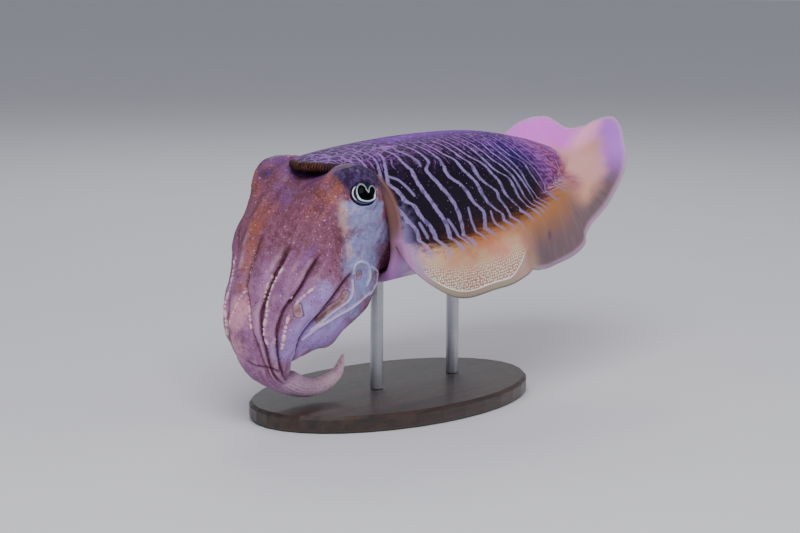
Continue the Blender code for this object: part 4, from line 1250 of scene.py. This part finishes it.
class Value:
    """A socket of a material; sums written with it become Math nodes."""

    def __init__(self, board, socket):
        self.board, self.socket = board, socket

    def math(self, operation, *others):
        """Any other sum by its name."""
        return self.board.node("ShaderNodeMath", {"operation": operation}, dict(enumerate((self,) + others)))

    def __add__(self, other):
        return self.math("ADD", other)

    def __mul__(self, other):
        return self.math("MULTIPLY", other)

    def __sub__(self, other):
        return self.math("SUBTRACT", other)

    def __rsub__(self, other):
        return self.board.node("ShaderNodeMath", {"operation": "SUBTRACT"}, {0: other, 1: self})

    __radd__, __rmul__ = __add__, __mul__

    def __abs__(self):
        return self.math("ABSOLUTE")

    def step(self, low, high):
        """An ease from 0 at low to 1 at high, and the other way where high is below low."""
        if isinstance(low, (int, float)) and isinstance(high, (int, float)) and high < low:
            return 1 - self.step(high, low)
        return self.board.node("ShaderNodeMapRange", {"interpolation_type": "SMOOTHSTEP"},
                               {0: self, 1: low, 2: high})

    def hump(self, middle, half):
        """1 at the middle, easing to 0 a half width off it."""
        return abs(self - middle).step(half, 0)


class Board:
    """A material's nodes round its Principled shader."""

    def __init__(self, name, **fixed):
        self.material = bpy.data.materials.new(name)
        self.material.use_nodes = True
        self.tree = self.material.node_tree
        self.shader = self.tree.nodes["Principled BSDF"]
        for key, value in fixed.items():
            self.shader.inputs[key.replace("_", " ").title().replace("Ior", "IOR")].default_value = value
        coordinates = self.node("ShaderNodeTexCoord", out="Object")
        # Object coordinates in millimetres
        self.place = self.vector("SCALE", coordinates, scale=1 / MM)

    def node(self, kind, settings=None, inputs=None, out=0):
        """Adds a node: its settings first, then the values or links of its sockets."""
        made = self.tree.nodes.new(kind)
        for key, value in (settings or {}).items():
            setattr(made, key, value)
        for key, value in (inputs or {}).items():
            if isinstance(value, Value):
                self.tree.links.new(value.socket, made.inputs[key])
            else:
                made.inputs[key].default_value = value
        return Value(self, made.outputs[out])

    def vector(self, operation, first, second=None, scale=None):
        """A sum of vectors."""
        inputs = {0: first}
        if second is not None:
            inputs[1] = second
        if scale is not None:
            inputs["Scale"] = scale
        return self.node("ShaderNodeVectorMath", {"operation": operation}, inputs)

    def number(self, name):
        """A named number kept on the vertices."""
        return self.node("ShaderNodeAttribute", {"attribute_name": name}, out="Fac")

    def numbers(self, *names):
        """Several of them, each under its own name."""
        return SimpleNamespace(**{name: self.number(name) for name in names})

    def stretched(self, factors):
        """Places in millimetres, drawn in or out along each axis."""
        return self.vector("MULTIPLY", self.place, factors)

    def noise(self, size, detail=3.0, rough=0.55, at=None, twist=0.0):
        """Noise of about a size in millimetres."""
        return self.node("ShaderNodeTexNoise", None,
                         {"Vector": at or self.place, "Scale": 1 / size, "Detail": detail, "Roughness": rough,
                          "Distortion": twist})

    def cells(self, size, feature="F1", at=None, out="Distance", scatter=1.0, flat=False):
        """Distance in cells of about a size in millimetres, or their colours."""
        return self.node("ShaderNodeTexVoronoi", {"feature": feature, "voronoi_dimensions": "2D" if flat else "3D"},
                         {"Vector": at or self.place, "Scale": 1 / size, "Randomness": scatter}, out=out)

    def dots(self, size, radius, share):
        """Round dots: cells' middles, of which a share is kept."""
        dot = self.cells(size).step(radius, radius * 0.55)
        keep = self.node("ShaderNodeSeparateColor", None, {0: self.cells(size, out="Color")})
        return dot * keep.step(share + 0.02, share - 0.02)

    def blend(self, share, low, high):
        """One colour laid over another; each is a socket, a setting or six hex digits."""
        low, high = (tint(part) if isinstance(part, str) else part for part in (low, high))
        return self.node("ShaderNodeMix", {"data_type": "RGBA", "clamp_factor": True}, {0: share, 6: low, 7: high},
                         out=2)

    def layers(self, colour, *coats):
        """Coats laid over a first colour in turn, each as (share, colour)."""
        for share, over in coats:
            colour = self.blend(share, colour, over)
        return colour

    def finish(self, **links):
        """Links the shader's own sockets, and gives the material."""
        for key, value in links.items():
            self.tree.links.new(value.socket, self.shader.inputs[key.replace("_", " ").title()])
        return self.material

    def bump(self, height, distance, strength=1.0):
        """Normals of a height from 0 to 1, over a distance in millimetres."""
        return self.node("ShaderNodeBump", None,
                         {"Strength": strength, "Distance": distance * MM, "Height": height}, out="Normal")


def mantle_masks(board):
    """The numbers and noises that the mantle's colours share; far is the way down from the crest."""
    m = board.numbers("along", "down", "inside", "fin", "edge", "out", "under", "lip", "rim", "phase", "gap",
                      "spur")
    m.far = abs(m.down)
    m.soft, m.fine, m.grit = board.noise(14, 2), board.noise(3.2, 3), board.noise(0.9, 2)
    m.streak = board.noise(1.5, 2, at=board.stretched((0.12, 1.0, 1.0)))
    m.front = m.along.step(62, 36)
    m.rear = m.along.step(92, 112)
    m.late = (m.along + (m.soft - 0.5) * 14 - m.far * 0.2).step(114, 142)
    return m


def mantle_lines(board, m):
    """Pale lines, wider and stronger towards the fins, with the short ones between them."""
    wave = (m.phase + (m.fine - 0.5) * 0.16).math("PINGPONG", 0.5) * m.gap
    half = (0.42 + m.far.step(12, 48) * 0.78) * (1 - m.along.step(95, 150) * 0.35)
    half = half + (m.grit - 0.5) * 0.9 + (m.fine - 0.5) * 0.8
    line = (1 - wave.step(half - 0.25, half + 0.35)) * (0.5 + board.noise(4.0, 2).step(0.36, 0.55) * 0.5)
    short = (m.spur + (m.grit - 0.5) * 0.5).step(1.1, 0.4) * 0.9
    line = (line * m.far.step(3, 24)).math("MAXIMUM", short)
    line = line * m.inside.step(-7, -2) * m.rim.step(2.5, 6) * (1 - m.under)
    return line * (0.62 + m.grit * 0.7).math("MINIMUM", 1.0)


def mantle_network(board, m):
    """A network over the crest, and finer broken lines between the pale ones."""
    wander = board.node("ShaderNodeTexNoise", None, {"Vector": board.place, "Scale": 0.35, "Detail": 2.0}, out=1)
    web = board.cells(4.0, "DISTANCE_TO_EDGE", board.vector("ADD", board.stretched((0.8, 1.15, 1.15)), wander))
    web = web.step(0.1, 0.03) * m.far.step(36, 12) * m.fine.step(0.42, 0.6).math("MAXIMUM", m.front) * 0.9
    twice = (m.phase * 2 + (m.soft - 0.5) * 1.2 + (m.fine - 0.5) * 0.5).math("PINGPONG", 0.5)
    thin = (twice * m.gap * 0.5).step(0.62, 0.3) * m.far.step(4, 12) * m.far.step(42, 26)
    thin = thin * board.noise(3.0, 2).step(0.44, 0.54) * m.inside.step(-1, 2) * m.rim.step(2.5, 6)
    return web.math("MAXIMUM", thin * 0.75)


def mantle_dots(board, m):
    """White dots over the front of the fins, and the way in from the flap's hem."""
    hem = m.edge - m.along.step(80, 97) * 6.5
    weave = board.node("ShaderNodeCombineXYZ", None, {0: m.along, 1: m.out + m.down.math("SIGN") * 60})
    spots = board.cells(1.25, at=weave, scatter=0.5, flat=True).step(0.32, 0.18) * m.fin.step(0.42, 0.8)
    return spots * hem.step(3.0, 4.0) * m.along.step(104, 92) * (1 - m.under * 0.5), hem


def mantle_ground(board, look, m, web, rear_pink):
    """The dark ground, violet over the crest, bluer at the rear and pink at the tail."""
    # The crest's top band is pink, partly its own colour and partly a painted sheen of light from above
    crest = board.blend((m.far + (m.fine - 0.5) * 8).step(2, 11) + m.front, look.crest_pink_and_sheen, look.back_violet)
    rust = m.inside.step(15, 0) * m.along.step(24, 40) * (m.fine * 0.6 + m.grit * 0.4).step(0.42, 0.6)
    return board.layers(
        crest,
        ((m.far + (m.soft - 0.5) * 22 + (m.fine - 0.5) * 8).step(8, 34), look.dark_ground),
        (m.along.step(84, 112) * m.far.step(44, 26) * m.far.step(6, 20) * 0.7, look.rear_blue),
        (m.fine.step(0.45, 0.7) * 0.3 * m.far.step(45, 20), "6f3c8c"),
        (m.late * 0.9, rear_pink),
        (board.dots(1.5, 0.2, 0.3) * m.far.step(70, 50) * 0.55, "8d78b8"),
        (board.dots(2.6, 0.12, 0.4) * 0.6, "a99cc8"),
        (rust * 0.6, "5e2f12"),
        (web * 0.75, look.net_lilac))


def mantle_flank(board, look, m):
    """Cream under the ground, with an orange band and freckles."""
    gold = (m.inside + (m.fine - 0.5) * 7).step(-17, -1.5) * m.along.step(34, 60) * (1 - m.late)
    return board.layers(
        board.blend(m.soft.step(0.35, 0.65), look.fin_cream, "d6b394"),
        (gold * 0.8, look.band_gold),
        (board.dots(1.5, 0.3, 0.55) * m.inside.step(-9, -1) * 0.5, "8a4f2c"),
        (board.dots(2.6, 0.2, 0.5) * m.inside.step(-16, -3) * m.along.step(120, 90) * 0.7, "6e3b2a"))


def mantle_film(board, look, m, flank, spots, hem):
    """The fins: dotted in front, brown to grey behind, pink and peach at the tail, partly painted rim light there,
    and clear at the edge.
    """
    side, high = (board.node("ShaderNodeSeparateXYZ", None, {0: board.place}, out=axis) for axis in "YZ")
    tail = board.layers(
        "dba08a",
        ((m.edge + (m.soft - 0.5) * 8).step(13, 5), look.fin_grey),
        # Purple over the tail's raised tips: painted rim light
        (high.step(96, 114) * m.edge.step(20, 6), "c074e6"))
    # The tail's lobes: pink, partly their own colour and partly painted rim light
    lobe = board.blend((side + (m.soft - 0.5) * 6).step(6, -3), look.tail_pink_and_rim_light, "ffb0d2")
    rays = board.noise(2.4, 2, at=board.stretched((1.0, 0.14, 0.14)))
    flap = m.along.step(30, 40) * m.along.step(99, 90)
    return board.layers(
        flank,
        (m.rear, board.blend(m.fin.step(0.15, 0.75), "a66e46", look.fin_grey)),
        (m.along.step(146, 162), tail),
        (m.along.step(140, 158) * (side + (m.soft - 0.5) * 10).step(-13, -2), lobe),
        (m.edge.step(3.2, 0.6) * (0.15 + m.rear * 0.4), "c9a4c8"),
        (m.edge.step(0.9, 0.2) * 0.6, "e6d0e6"),
        (rays.step(0.45, 0.65) * 0.02 * m.fin.step(0.1, 0.5), "fff2f0"),
        (m.along.hump(121.5, 2.6) * m.fin.hump(0.55, 0.11) * 0.7, "5a3a62"),
        (m.fin.step(0.3, 0.85) * (1 - m.rear) * 0.7, "8f7566"),
        (spots * m.along.step(28, 36), "fffbf4"),
        (hem.hump(3.4, 0.5) * flap * 0.95, "f4eef2"),
        (hem.step(3.2, 2.4) * flap * 0.7, board.blend(m.along.step(78, 90), "8f8c7c", "b2928f")))


def mantle_finish(look):
    """Zebra lines on a dark back, a violet network over the crest, and clear fins with white dots."""
    board = Board("mantle skin", subsurface_weight=0.08, subsurface_radius=(1.0, 0.45, 0.5), subsurface_scale=0.002,
                  coat_weight=0.02, coat_roughness=0.2, specular_ior_level=0.1)
    m = mantle_masks(board)
    line, web = mantle_lines(board, m), mantle_network(board, m)
    spots, hem = mantle_dots(board, m)
    rear_pink = board.layers("a862b8", (m.along.step(136, 156), "a85868"),
                             (m.streak.step(0.42, 0.56) * 0.85, "5a246e"))
    flank = mantle_flank(board, look, m)
    belly = board.blend(m.soft.step(0.4, 0.6), look.belly_lilac, "e6c6e4")
    tail = m.inside.step(6, -4).math("MAXIMUM", m.late * m.far.step(42, 30)) * m.along.step(146, 162)
    tail_end = board.blend((m.along + (m.fine - 0.5) * 8).step(158, 172), rear_pink, "dba2a0")
    # The dark ground's edge runs out in fingers between the lines
    finger = (0.3 - line) * 4.5 + (m.streak - 0.5) * (8 + m.late * 16) + (m.fine - 0.5) * 6 + (m.grit - 0.5) * 8
    zone = (m.inside + finger - m.late * 2).step(-4, 6) * (1 - m.under)
    # The collar: a brown band round the sides, barred and rolled over on top, lilac below
    collar = m.rim.step(7.0, 2.5) * m.far.step(26, 40)
    bars = (m.down + (m.fine - 0.5) * 2.2).math("PINGPONG", 0.62).step(0.2, 0.5)
    roll = board.blend(bars * (0.25 + m.fine.step(0.35, 0.6) * 0.75) * 0.6, "1a0d0a", "7c4a20")
    lower = board.layers(look.brow_dusk, (m.far.step(36, 50), "6b4a45"), (m.far.step(60, 84), look.belly_lilac))
    skin = board.layers(
        flank,
        (m.fin.step(0.0, 0.16), mantle_film(board, look, m, flank, spots, hem)),
        (m.under * m.fin.step(0.5, 0.0) * m.far.step(66, 74), belly),
        (tail * m.fin.step(0.6, 0.2) * 0.85, tail_end),
        (zone, mantle_ground(board, look, m, web, rear_pink)),
        (line * (0.92 - m.far.step(30, 10) * 0.15),
         board.blend(m.far.step(34, 14), look.line_lilac, look.net_lilac)),
        (m.rim.step(15, 4) * (m.far + (m.fine - 0.5) * 34).step(50, 68) * 0.65, "9a8ac4"),
        (collar, board.blend(m.far.step(58, 74), "5f4048", look.belly_lilac)),
        (collar * m.rim.hump(4.0, 1.6) * m.far.step(76, 60) * 0.6, "9a6a58"),
        (m.lip * 0.95, board.blend(m.far.step(12, 22), roll, lower)))
    relief = m.grit * 0.25 + m.fine * 0.3 + line * 0.5 + web * 0.25 + spots * 0.5
    return board.finish(base_color=skin, roughness=0.5 + m.fine * 0.2 - spots * 0.1,
                        normal=board.bump(relief, 0.22, 0.8))


def head_finish(look):
    """Mauve skin with orange, violet and blue patches, specks, pale beads and dark creases."""
    board = Board("head skin", subsurface_weight=0.1, subsurface_radius=(1.0, 0.45, 0.4), subsurface_scale=0.002,
                  coat_weight=0.04, coat_roughness=0.25, specular_ior_level=0.22)
    m = board.numbers("orange", "violet", "blue", "pale", "rose", "cream", "dusk", "tips", "pocket", "web", "crest",
                      "crease", "groove")
    flow = board.node("ShaderNodeAttribute", {"attribute_name": "flow"}, out="Vector")
    far_on = board.node("ShaderNodeSeparateXYZ", None, {0: flow}, out="Z") * (1 / FLOW_STEP)
    soft, fine, grit = board.noise(13, 3), board.noise(3.0, 4, 0.62), board.noise(0.8, 2)
    streak = board.noise(2.6, 3, at=flow)
    mottle = (soft * 0.3 + streak * 0.35 + fine * 0.35).step(0.38, 0.6)
    orange = (m.orange + (streak - 0.5) * 1.5 + (grit - 0.5) * 0.9).step(0.2, 1.25)
    violet = (m.violet + (fine - 0.5) * 1.5 + (grit - 0.5) * 0.6).step(0.2, 1.0)
    blue = (m.blue + (fine - 0.5) * 0.6).step(0.12, 0.85)
    dusk = (m.dusk + (fine - 0.5)).step(0.2, 0.85)
    under_eye = board.blend((far_on + (soft - 0.5) * 10).step(-14, -4), "828cc0", look.cheek_blue)
    sheen = board.dots(1.6, 0.26, 0.45) * fine.step(0.42, 0.58) * (1 - dusk * 0.8)
    pearls = board.dots(3.2, 0.2, 0.4) * streak.step(0.45, 0.58)
    # Above nought: painted shade in hollows; below nought: a painted highlight on ridges
    crease = m.crease + (fine - 0.5) * 0.25
    # Strength of the painted shade in the grooves, broken up by noise
    groove = m.groove * (0.62 + board.noise(6, 2) * 0.7) + (grit - 0.5) * 0.35
    skin = board.layers(
        board.blend(mottle, "62333f", look.head_mauve),
        ((far_on + (fine - 0.5) * 16).step(-6, 22), board.blend(mottle, "7d5070", look.arm_mauve)),
        (orange * 0.8, look.head_orange),
        (violet * 0.7, look.head_violet),
        (blue * 0.85, board.blend(fine.step(0.42, 0.66) * 0.8, under_eye, "a4a0cc")),
        ((m.pale + (soft - 0.5) * 0.6).step(0.15, 0.8) * 0.8, look.arm_pale),
        # Rosy tips, paled towards the hook's end by painted light where that end lies in shade
        (m.tips * 0.8, board.blend(far_on.step(76, 98), look.tip_rose, "f6d6e2")),
        ((m.rose + (fine - 0.5) * 0.8).step(0.2, 0.9) * 0.75, "e6a2b6"),
        ((m.cream + (fine - 0.5) * 1.1).step(0.1, 1.25) * 0.65, "d0aca0"),
        (dusk * 0.96, board.blend(fine.step(0.46, 0.62) * 0.55, look.brow_dusk, "5c4280")),
        # Fine brown dots all over, pale grains, larger dark specks in places, and pearls
        (board.dots(1.35, 0.33, 0.65) * 0.6 * (1 - blue * 0.35), "5f2c38"),
        (sheen * 0.5, "e6c6da"),
        ((grit - 0.5).step(0.0, 0.25) * 0.32 * (1 - dusk), "c79aa6"),
        (board.dots(2.7, 0.2, 0.34) * board.noise(9, 1).step(0.46, 0.58) * 0.85, "3c1c2c"),
        (pearls * 0.45, "e2bed6"),
        # Folds, with painted shade in hollows and grooves and a painted highlight on ridges
        (m.pocket.hump(0.34, 0.2) * 0.7, look.crease_shade_brown),
        (m.pocket.step(0.4, 0.75) * 0.85, board.blend(fine.step(0.4, 0.6), "86605a", "b08a80")),
        ((m.web + (fine - 0.5) * 0.5).step(0.3, 0.9) * 0.7, "b4bcdc"),
        # Pale beads on the crests, partly their own colour and partly a painted highlight on the ridges
        ((m.crest + (grit - 0.5) * 0.35).step(0.25, 0.65) * 0.85, "edc4c8"),
        # Painted shade in the skin's hollows
        (crease.step(0.15, 0.9) * 0.45, look.crease_shade_brown),
        # Painted shade in the grooves between the arms and in tucks
        (groove.step(0.3, 0.95) * 0.82, look.crease_shade_brown),
        # Painted highlight on ridges and other proud skin below the crown
        (crease.step(-0.2, -1.0) * far_on.step(-8, 4) * 0.3, "dcb4c8"))
    relief = fine * 0.5 + grit * 0.3 + streak * 0.4 + sheen * 0.3 + pearls * 0.5
    return board.finish(base_color=skin, roughness=0.45 + fine * 0.2, normal=board.bump(relief, 0.3, 0.85))


def eye_finish(look):
    """A black W of a pupil in a silver ring, a dark iris and a white crescent at the front, which is a painted
    reflection.
    """
    board = Board("eye", coat_weight=0.03, coat_roughness=0.04, specular_ior_level=0.02)
    m = board.numbers("pupil", "ring", "low", "fore")
    fine = board.noise(0.7, 3)
    band = m.pupil.step(0.04, 0.16) * m.pupil.step(0.78, 0.42)
    # A painted reflection: a white crescent near the ring's edge at the front
    reflection_crescent = m.ring.hump(0.86, 0.07) * m.fore.step(0.3, 0.7)
    iris = board.layers(
        board.blend(fine.step(0.4, 0.6), "120c1c", "2a2240"),
        (band * (0.3 + m.low * 0.7), board.blend(fine.step(0.4, 0.62), look.silver, "9fd8ea")),
        (reflection_crescent, "f4f4fa"),
        (m.ring.hump(0.88, 0.05) * m.low.step(0.55, 0.95) * 0.4, "8fb6d8"),
        (m.pupil.step(0.06, -0.06), "020203"))
    shine = band * 0.6 + reflection_crescent * 0.3
    return board.finish(base_color=iris, metallic=shine * 0.35, roughness=0.3 - shine * 0.12)


def sucker_finish(look):
    """Moist cream skin, pinker in places."""
    board = Board("suckers", subsurface_weight=0.1, subsurface_radius=(1.0, 0.5, 0.4), subsurface_scale=0.001,
                  coat_weight=0.3, coat_roughness=0.2)
    fine = board.noise(0.6, 3)
    return board.finish(base_color=board.blend(fine.step(0.35, 0.65), look.sucker_cream, "c98fa0"),
                        roughness=0.35 + fine * 0.2, normal=board.bump(fine, 0.1, 0.6))


def board_finish(look):
    """Dark stained wood under a satin varnish, its grain along the base."""
    board = Board("stand wood", coat_weight=0.35, coat_roughness=0.22)
    bands = board.noise(5.0, 4, 0.6, board.stretched((0.05, 1.0, 1.0)), 0.6)
    pores = board.noise(0.5, 2, 0.5, board.stretched((0.09, 1.0, 1.0)))
    wood = board.layers(look.wood, (bands.step(0.35, 0.65), "1b110d"), (pores.step(0.58, 0.7) * 0.6, "0d0806"))
    return board.finish(base_color=wood, roughness=0.38 + pores * 0.2,
                        normal=board.bump(1 - pores.step(0.55, 0.72), 0.08, 0.6))


def rod_finish(look):
    """Steel brushed round the rod."""
    board = Board("stand steel", metallic=1.0)
    lines = board.noise(0.35, 3, 0.6, board.stretched((0.08, 0.08, 1.0)))
    wear = board.noise(9, 3)
    return board.finish(base_color=board.blend(lines * 0.5 + wear * 0.3, look.steel, "8d9096"),
                        roughness=0.22 + lines * 0.18 + wear * 0.08, normal=board.bump(lines, 0.02, 0.5))


def floor_finish(look):
    """A plain pale floor, a little uneven."""
    board = Board("floor", roughness=0.8)
    return board.finish(base_color=board.blend(board.noise(60, 4), look.floor, "e0e0e5"))


# Settings

def colour_setting(name, description, code):
    """A colour of the panel, its default written as six hex digits."""
    return FloatVectorProperty(name=name, description=description, default=tint(code), size=4, min=0.0, max=1.0,
                               subtype="COLOR")


class CuttlefishSkin(bpy.types.PropertyGroup):
    """Fineness and colours of the living skins."""

    fineness: FloatProperty(name="Fineness", description="Size of the head skin's mesh cells",
                            default=0.00065, min=0.0003, max=0.003, precision=5, subtype="DISTANCE", unit="LENGTH")
    dark_ground: colour_setting("Dark ground", "Back between the pale lines", "150b1d")
    # Partly the crest's own colour, partly painted light from above
    crest_pink_and_sheen: colour_setting("Crest pink", "Very top of the back", "641f9a")
    back_violet: colour_setting("Back violet", "Either side of the crest", "2c1548")
    rear_blue: colour_setting("Rear blue", "Back over the tail half", "2a0f68")
    line_lilac: colour_setting("Line lilac", "Zebra lines on the flanks", "8c7cb2")
    net_lilac: colour_setting("Net lilac", "Fine network over the crest", "a868c6")
    fin_cream: colour_setting("Fin cream", "Flank and the front of the fins", "da927e")
    fin_grey: colour_setting("Fin grey", "Rear flap of the fins", "705c62")
    band_gold: colour_setting("Band gold", "Band under the dark ground", "a0622c")
    # Partly the tail's own colour, partly painted rim light
    tail_pink_and_rim_light: colour_setting("Tail pink", "Fins at the tail", "f078f6")
    belly_lilac: colour_setting("Belly lilac", "Belly and the collar under the throat", "c48ad0")
    head_mauve: colour_setting("Head mauve", "Head and arms", "824c66")
    arm_mauve: colour_setting("Arm mauve", "Arms below the crown", "996696")
    head_orange: colour_setting("Head orange", "Warm streaks on the head", "9a5634")
    head_violet: colour_setting("Head violet", "Cool patches on the head", "6a3f88")
    cheek_blue: colour_setting("Cheek blue", "Cheeks below the eyes", "828fc8")
    arm_pale: colour_setting("Arm pale", "Lower arms", "a38bd4")
    tip_rose: colour_setting("Tip rose", "Arm tips and the hook", "c4a4be")
    brow_dusk: colour_setting("Brow dusk", "Lids and brows", "22143a")
    # Painted shade in creases and grooves, also the dark rims of pockets
    crease_shade_brown: colour_setting("Crease brown", "Grooves between the arms", "43201f")
    sucker_cream: colour_setting("Sucker cream", "Suckers", "e8cfc4")


class CuttlefishEyes(bpy.types.PropertyGroup):
    """Colours of the eyes."""

    silver: colour_setting("Silver", "Ring round the pupil", "f2f8fc")


class CuttlefishStage(bpy.types.PropertyGroup):
    """Stand, floor and lights."""

    wood: colour_setting("Wood", "Base of the stand", "3a261c")
    steel: colour_setting("Steel", "Rods of the stand", "c4c6cc")
    floor: colour_setting("Floor", "Floor under the model", "dcdce2")
    key_power: FloatProperty(name="Key light", description="Power of the light from above and in front",
                             default=10.0, min=0.0, subtype="POWER", unit="POWER")
    fill_power: FloatProperty(name="Fill light", description="Power of the light from the camera's other side",
                              default=2.6, min=0.0, subtype="POWER", unit="POWER")
    rim_power: FloatProperty(name="Rim light", description="Power of the light from behind",
                             default=3.2, min=0.0, subtype="POWER", unit="POWER")
    sky: FloatProperty(name="Sky", description="Strength of the pale surroundings", default=0.4, min=0.0)


# Operators

def settle(piece, finish, nodes=()):
    """Gives a piece its finish, hangs it on the root's empty and hides the parts that it stands for."""
    piece.data.materials.clear()
    piece.data.materials.append(finish)
    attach(piece, "root")
    if nodes:
        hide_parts(*nodes)


class CUTTLEFISH_OT_mantle(bpy.types.Operator):
    """Model the mantle, its collar and both fins as one skin"""

    bl_idname = "cuttlefish.mantle"
    bl_label = "Mantle and Fins"

    def execute(self, context):
        settle(make_mantle_skin(), mantle_finish(context.scene.cuttlefish_skin),
               ("mantle", "fin_left", "fin_right"))
        return {"FINISHED"}


class CUTTLEFISH_OT_head(bpy.types.Operator):
    """Model the head, arms, lids and funnel as one skin"""

    bl_idname = "cuttlefish.head"
    bl_label = "Head and Arms"

    def execute(self, context):
        look = context.scene.cuttlefish_skin
        flesh = [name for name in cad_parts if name.startswith(("head", "funnel", "arm"))]
        settle(make_head_skin(look.fineness), head_finish(look), flesh)
        return {"FINISHED"}


class CUTTLEFISH_OT_eyes(bpy.types.Operator):
    """Model both eyeballs with their W pupils"""

    bl_idname = "cuttlefish.eyes"
    bl_label = "Eyes"

    def execute(self, context):
        finish = eye_finish(context.scene.cuttlefish_eyes)
        for name, side in (("left", -1), ("right", 1)):
            settle(make_eye(f"eyeball_{name}", side), finish, (f"eye_{name}",))
        return {"FINISHED"}


class CUTTLEFISH_OT_suckers(bpy.types.Operator):
    """Model the suckers down the inner faces of the arms"""

    bl_idname = "cuttlefish.suckers"
    bl_label = "Suckers"

    def execute(self, context):
        settle(make_suckers(), sucker_finish(context.scene.cuttlefish_skin))
        return {"FINISHED"}


class CUTTLEFISH_OT_stand(bpy.types.Operator):
    """Finish the stand's wooden base and steel rods"""

    bl_idname = "cuttlefish.stand"
    bl_label = "Stand"

    def execute(self, context):
        look = context.scene.cuttlefish_stage
        wood, steel = board_finish(look), rod_finish(look)
        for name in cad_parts:
            if name.startswith("stand"):
                piece = bpy.data.objects[name]
                for slot in piece.material_slots:
                    slot.material = steel if "rod" in name else wood
        return {"FINISHED"}


class CUTTLEFISH_OT_stage(bpy.types.Operator):
    """Set the floor, the soft lights and the camera"""

    bl_idname = "cuttlefish.stage"
    bl_label = "Stage"

    def execute(self, context):
        look = context.scene.cuttlefish_stage
        make_floor(look)
        make_lights(look)
        make_camera()
        return {"FINISHED"}


FLOOR_RADIUS = 4.0


def make_floor(look):
    """A round floor at the stand's foot."""
    deselect()
    bpy.ops.mesh.primitive_circle_add(vertices=96, radius=FLOOR_RADIUS, fill_type="NGON")
    floor = bpy.context.object
    floor.name = "floor"
    floor.data.materials.append(floor_finish(look))


# Lights as (name, which power, place in metres from the model's middle, size)
LIGHTS = (
    ("key", "key_power", (-0.55, -0.55, 0.75), 0.7),
    ("fill", "fill_power", (0.75, -0.75, 0.25), 0.9),
    ("rim", "rim_power", (0.55, 0.65, 0.75), 0.6),
)
LIT_MIDDLE = Vector((-0.01, 0.0, 0.09))


def make_lights(look):
    """Three soft lights turned to the model, and the pale surroundings."""
    for name, power, place, size in LIGHTS:
        bpy.ops.object.light_add(type="AREA", location=LIT_MIDDLE + Vector(place))
        light = bpy.context.object
        light.name = name
        light.data.energy = getattr(look, power)
        light.data.shape = "DISK"
        light.data.size = size
        light.rotation_euler = Vector(place).to_track_quat("Z", "Y").to_euler()
    world = bpy.data.worlds.new("surroundings")
    bpy.context.scene.world = world
    world.use_nodes = True
    sky = world.node_tree.nodes["Background"]
    sky.inputs["Color"].default_value = tint("e4e6f0")
    sky.inputs["Strength"].default_value = look.sky


# Camera: turned round the model and raised, with the lobe's tip at the photograph's pixel
CAMERA_TURN = math.radians(43)
CAMERA_RISE = math.radians(7)
CAMERA_DISTANCE = 1.0
METRES_PER_PIXEL = 0.45e-3
PICTURE = (800, 533)
ANCHOR = (0, 0, 15.5)
ANCHOR_PIXEL = (296, 163)
SENSOR = 36.0


def make_camera():
    """The camera that took the photograph, as fitted to the animal's outline."""
    level = math.cos(CAMERA_RISE)
    back = Vector((-math.sin(CAMERA_TURN) * level, -math.cos(CAMERA_TURN) * level, math.sin(CAMERA_RISE)))
    right = Vector((math.cos(CAMERA_TURN), -math.sin(CAMERA_TURN), 0))
    bpy.ops.object.camera_add(location=Vector(in_world(ANCHOR)) + back * CAMERA_DISTANCE)
    camera = bpy.context.object
    camera.rotation_euler = Matrix((right, back.cross(right), back)).transposed().to_euler()
    camera.data.sensor_width = SENSOR
    camera.data.lens = SENSOR * CAMERA_DISTANCE / (METRES_PER_PIXEL * PICTURE[0])
    camera.data.shift_x = (PICTURE[0] / 2 - ANCHOR_PIXEL[0]) / PICTURE[0]
    camera.data.shift_y = (ANCHOR_PIXEL[1] - PICTURE[1] / 2) / PICTURE[0]
    camera.data.clip_start = 0.01
    bpy.context.scene.camera = camera


STEPS = (CUTTLEFISH_OT_mantle, CUTTLEFISH_OT_head, CUTTLEFISH_OT_eyes, CUTTLEFISH_OT_suckers, CUTTLEFISH_OT_stand,
         CUTTLEFISH_OT_stage)


class CUTTLEFISH_PT_panel(bpy.types.Panel):
    """Lists the settings and the steps in order"""

    bl_idname = "CUTTLEFISH_PT_panel"
    bl_label = "Cuttlefish"
    bl_space_type = "VIEW_3D"
    bl_region_type = "UI"
    bl_category = "Cuttlefish"

    def draw(self, context):
        for group in (context.scene.cuttlefish_skin, context.scene.cuttlefish_eyes, context.scene.cuttlefish_stage):
            box = self.layout.box()
            for key in group.__annotations__:
                box.prop(group, key)
        for step in STEPS:
            self.layout.operator(step.bl_idname)


GROUPS = {"cuttlefish_skin": CuttlefishSkin, "cuttlefish_eyes": CuttlefishEyes, "cuttlefish_stage": CuttlefishStage}
CLASSES = tuple(GROUPS.values()) + STEPS + (CUTTLEFISH_PT_panel,)


def register():
    """Adds the settings, the steps and the panel."""
    for kind in CLASSES:
        bpy.utils.register_class(kind)
    for key, kind in GROUPS.items():
        setattr(bpy.types.Scene, key, PointerProperty(type=kind))


def unregister():
    """Takes them away again."""
    for key in GROUPS:
        delattr(bpy.types.Scene, key)
    for kind in reversed(CLASSES):
        bpy.utils.unregister_class(kind)


def main():
    """Runs every step in order."""
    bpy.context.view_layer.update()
    register()
    bpy.ops.cuttlefish.mantle()
    bpy.ops.cuttlefish.head()
    bpy.ops.cuttlefish.eyes()
    bpy.ops.cuttlefish.suckers()
    bpy.ops.cuttlefish.stand()
    bpy.ops.cuttlefish.stage()


if __name__ == "__main__":
    main()
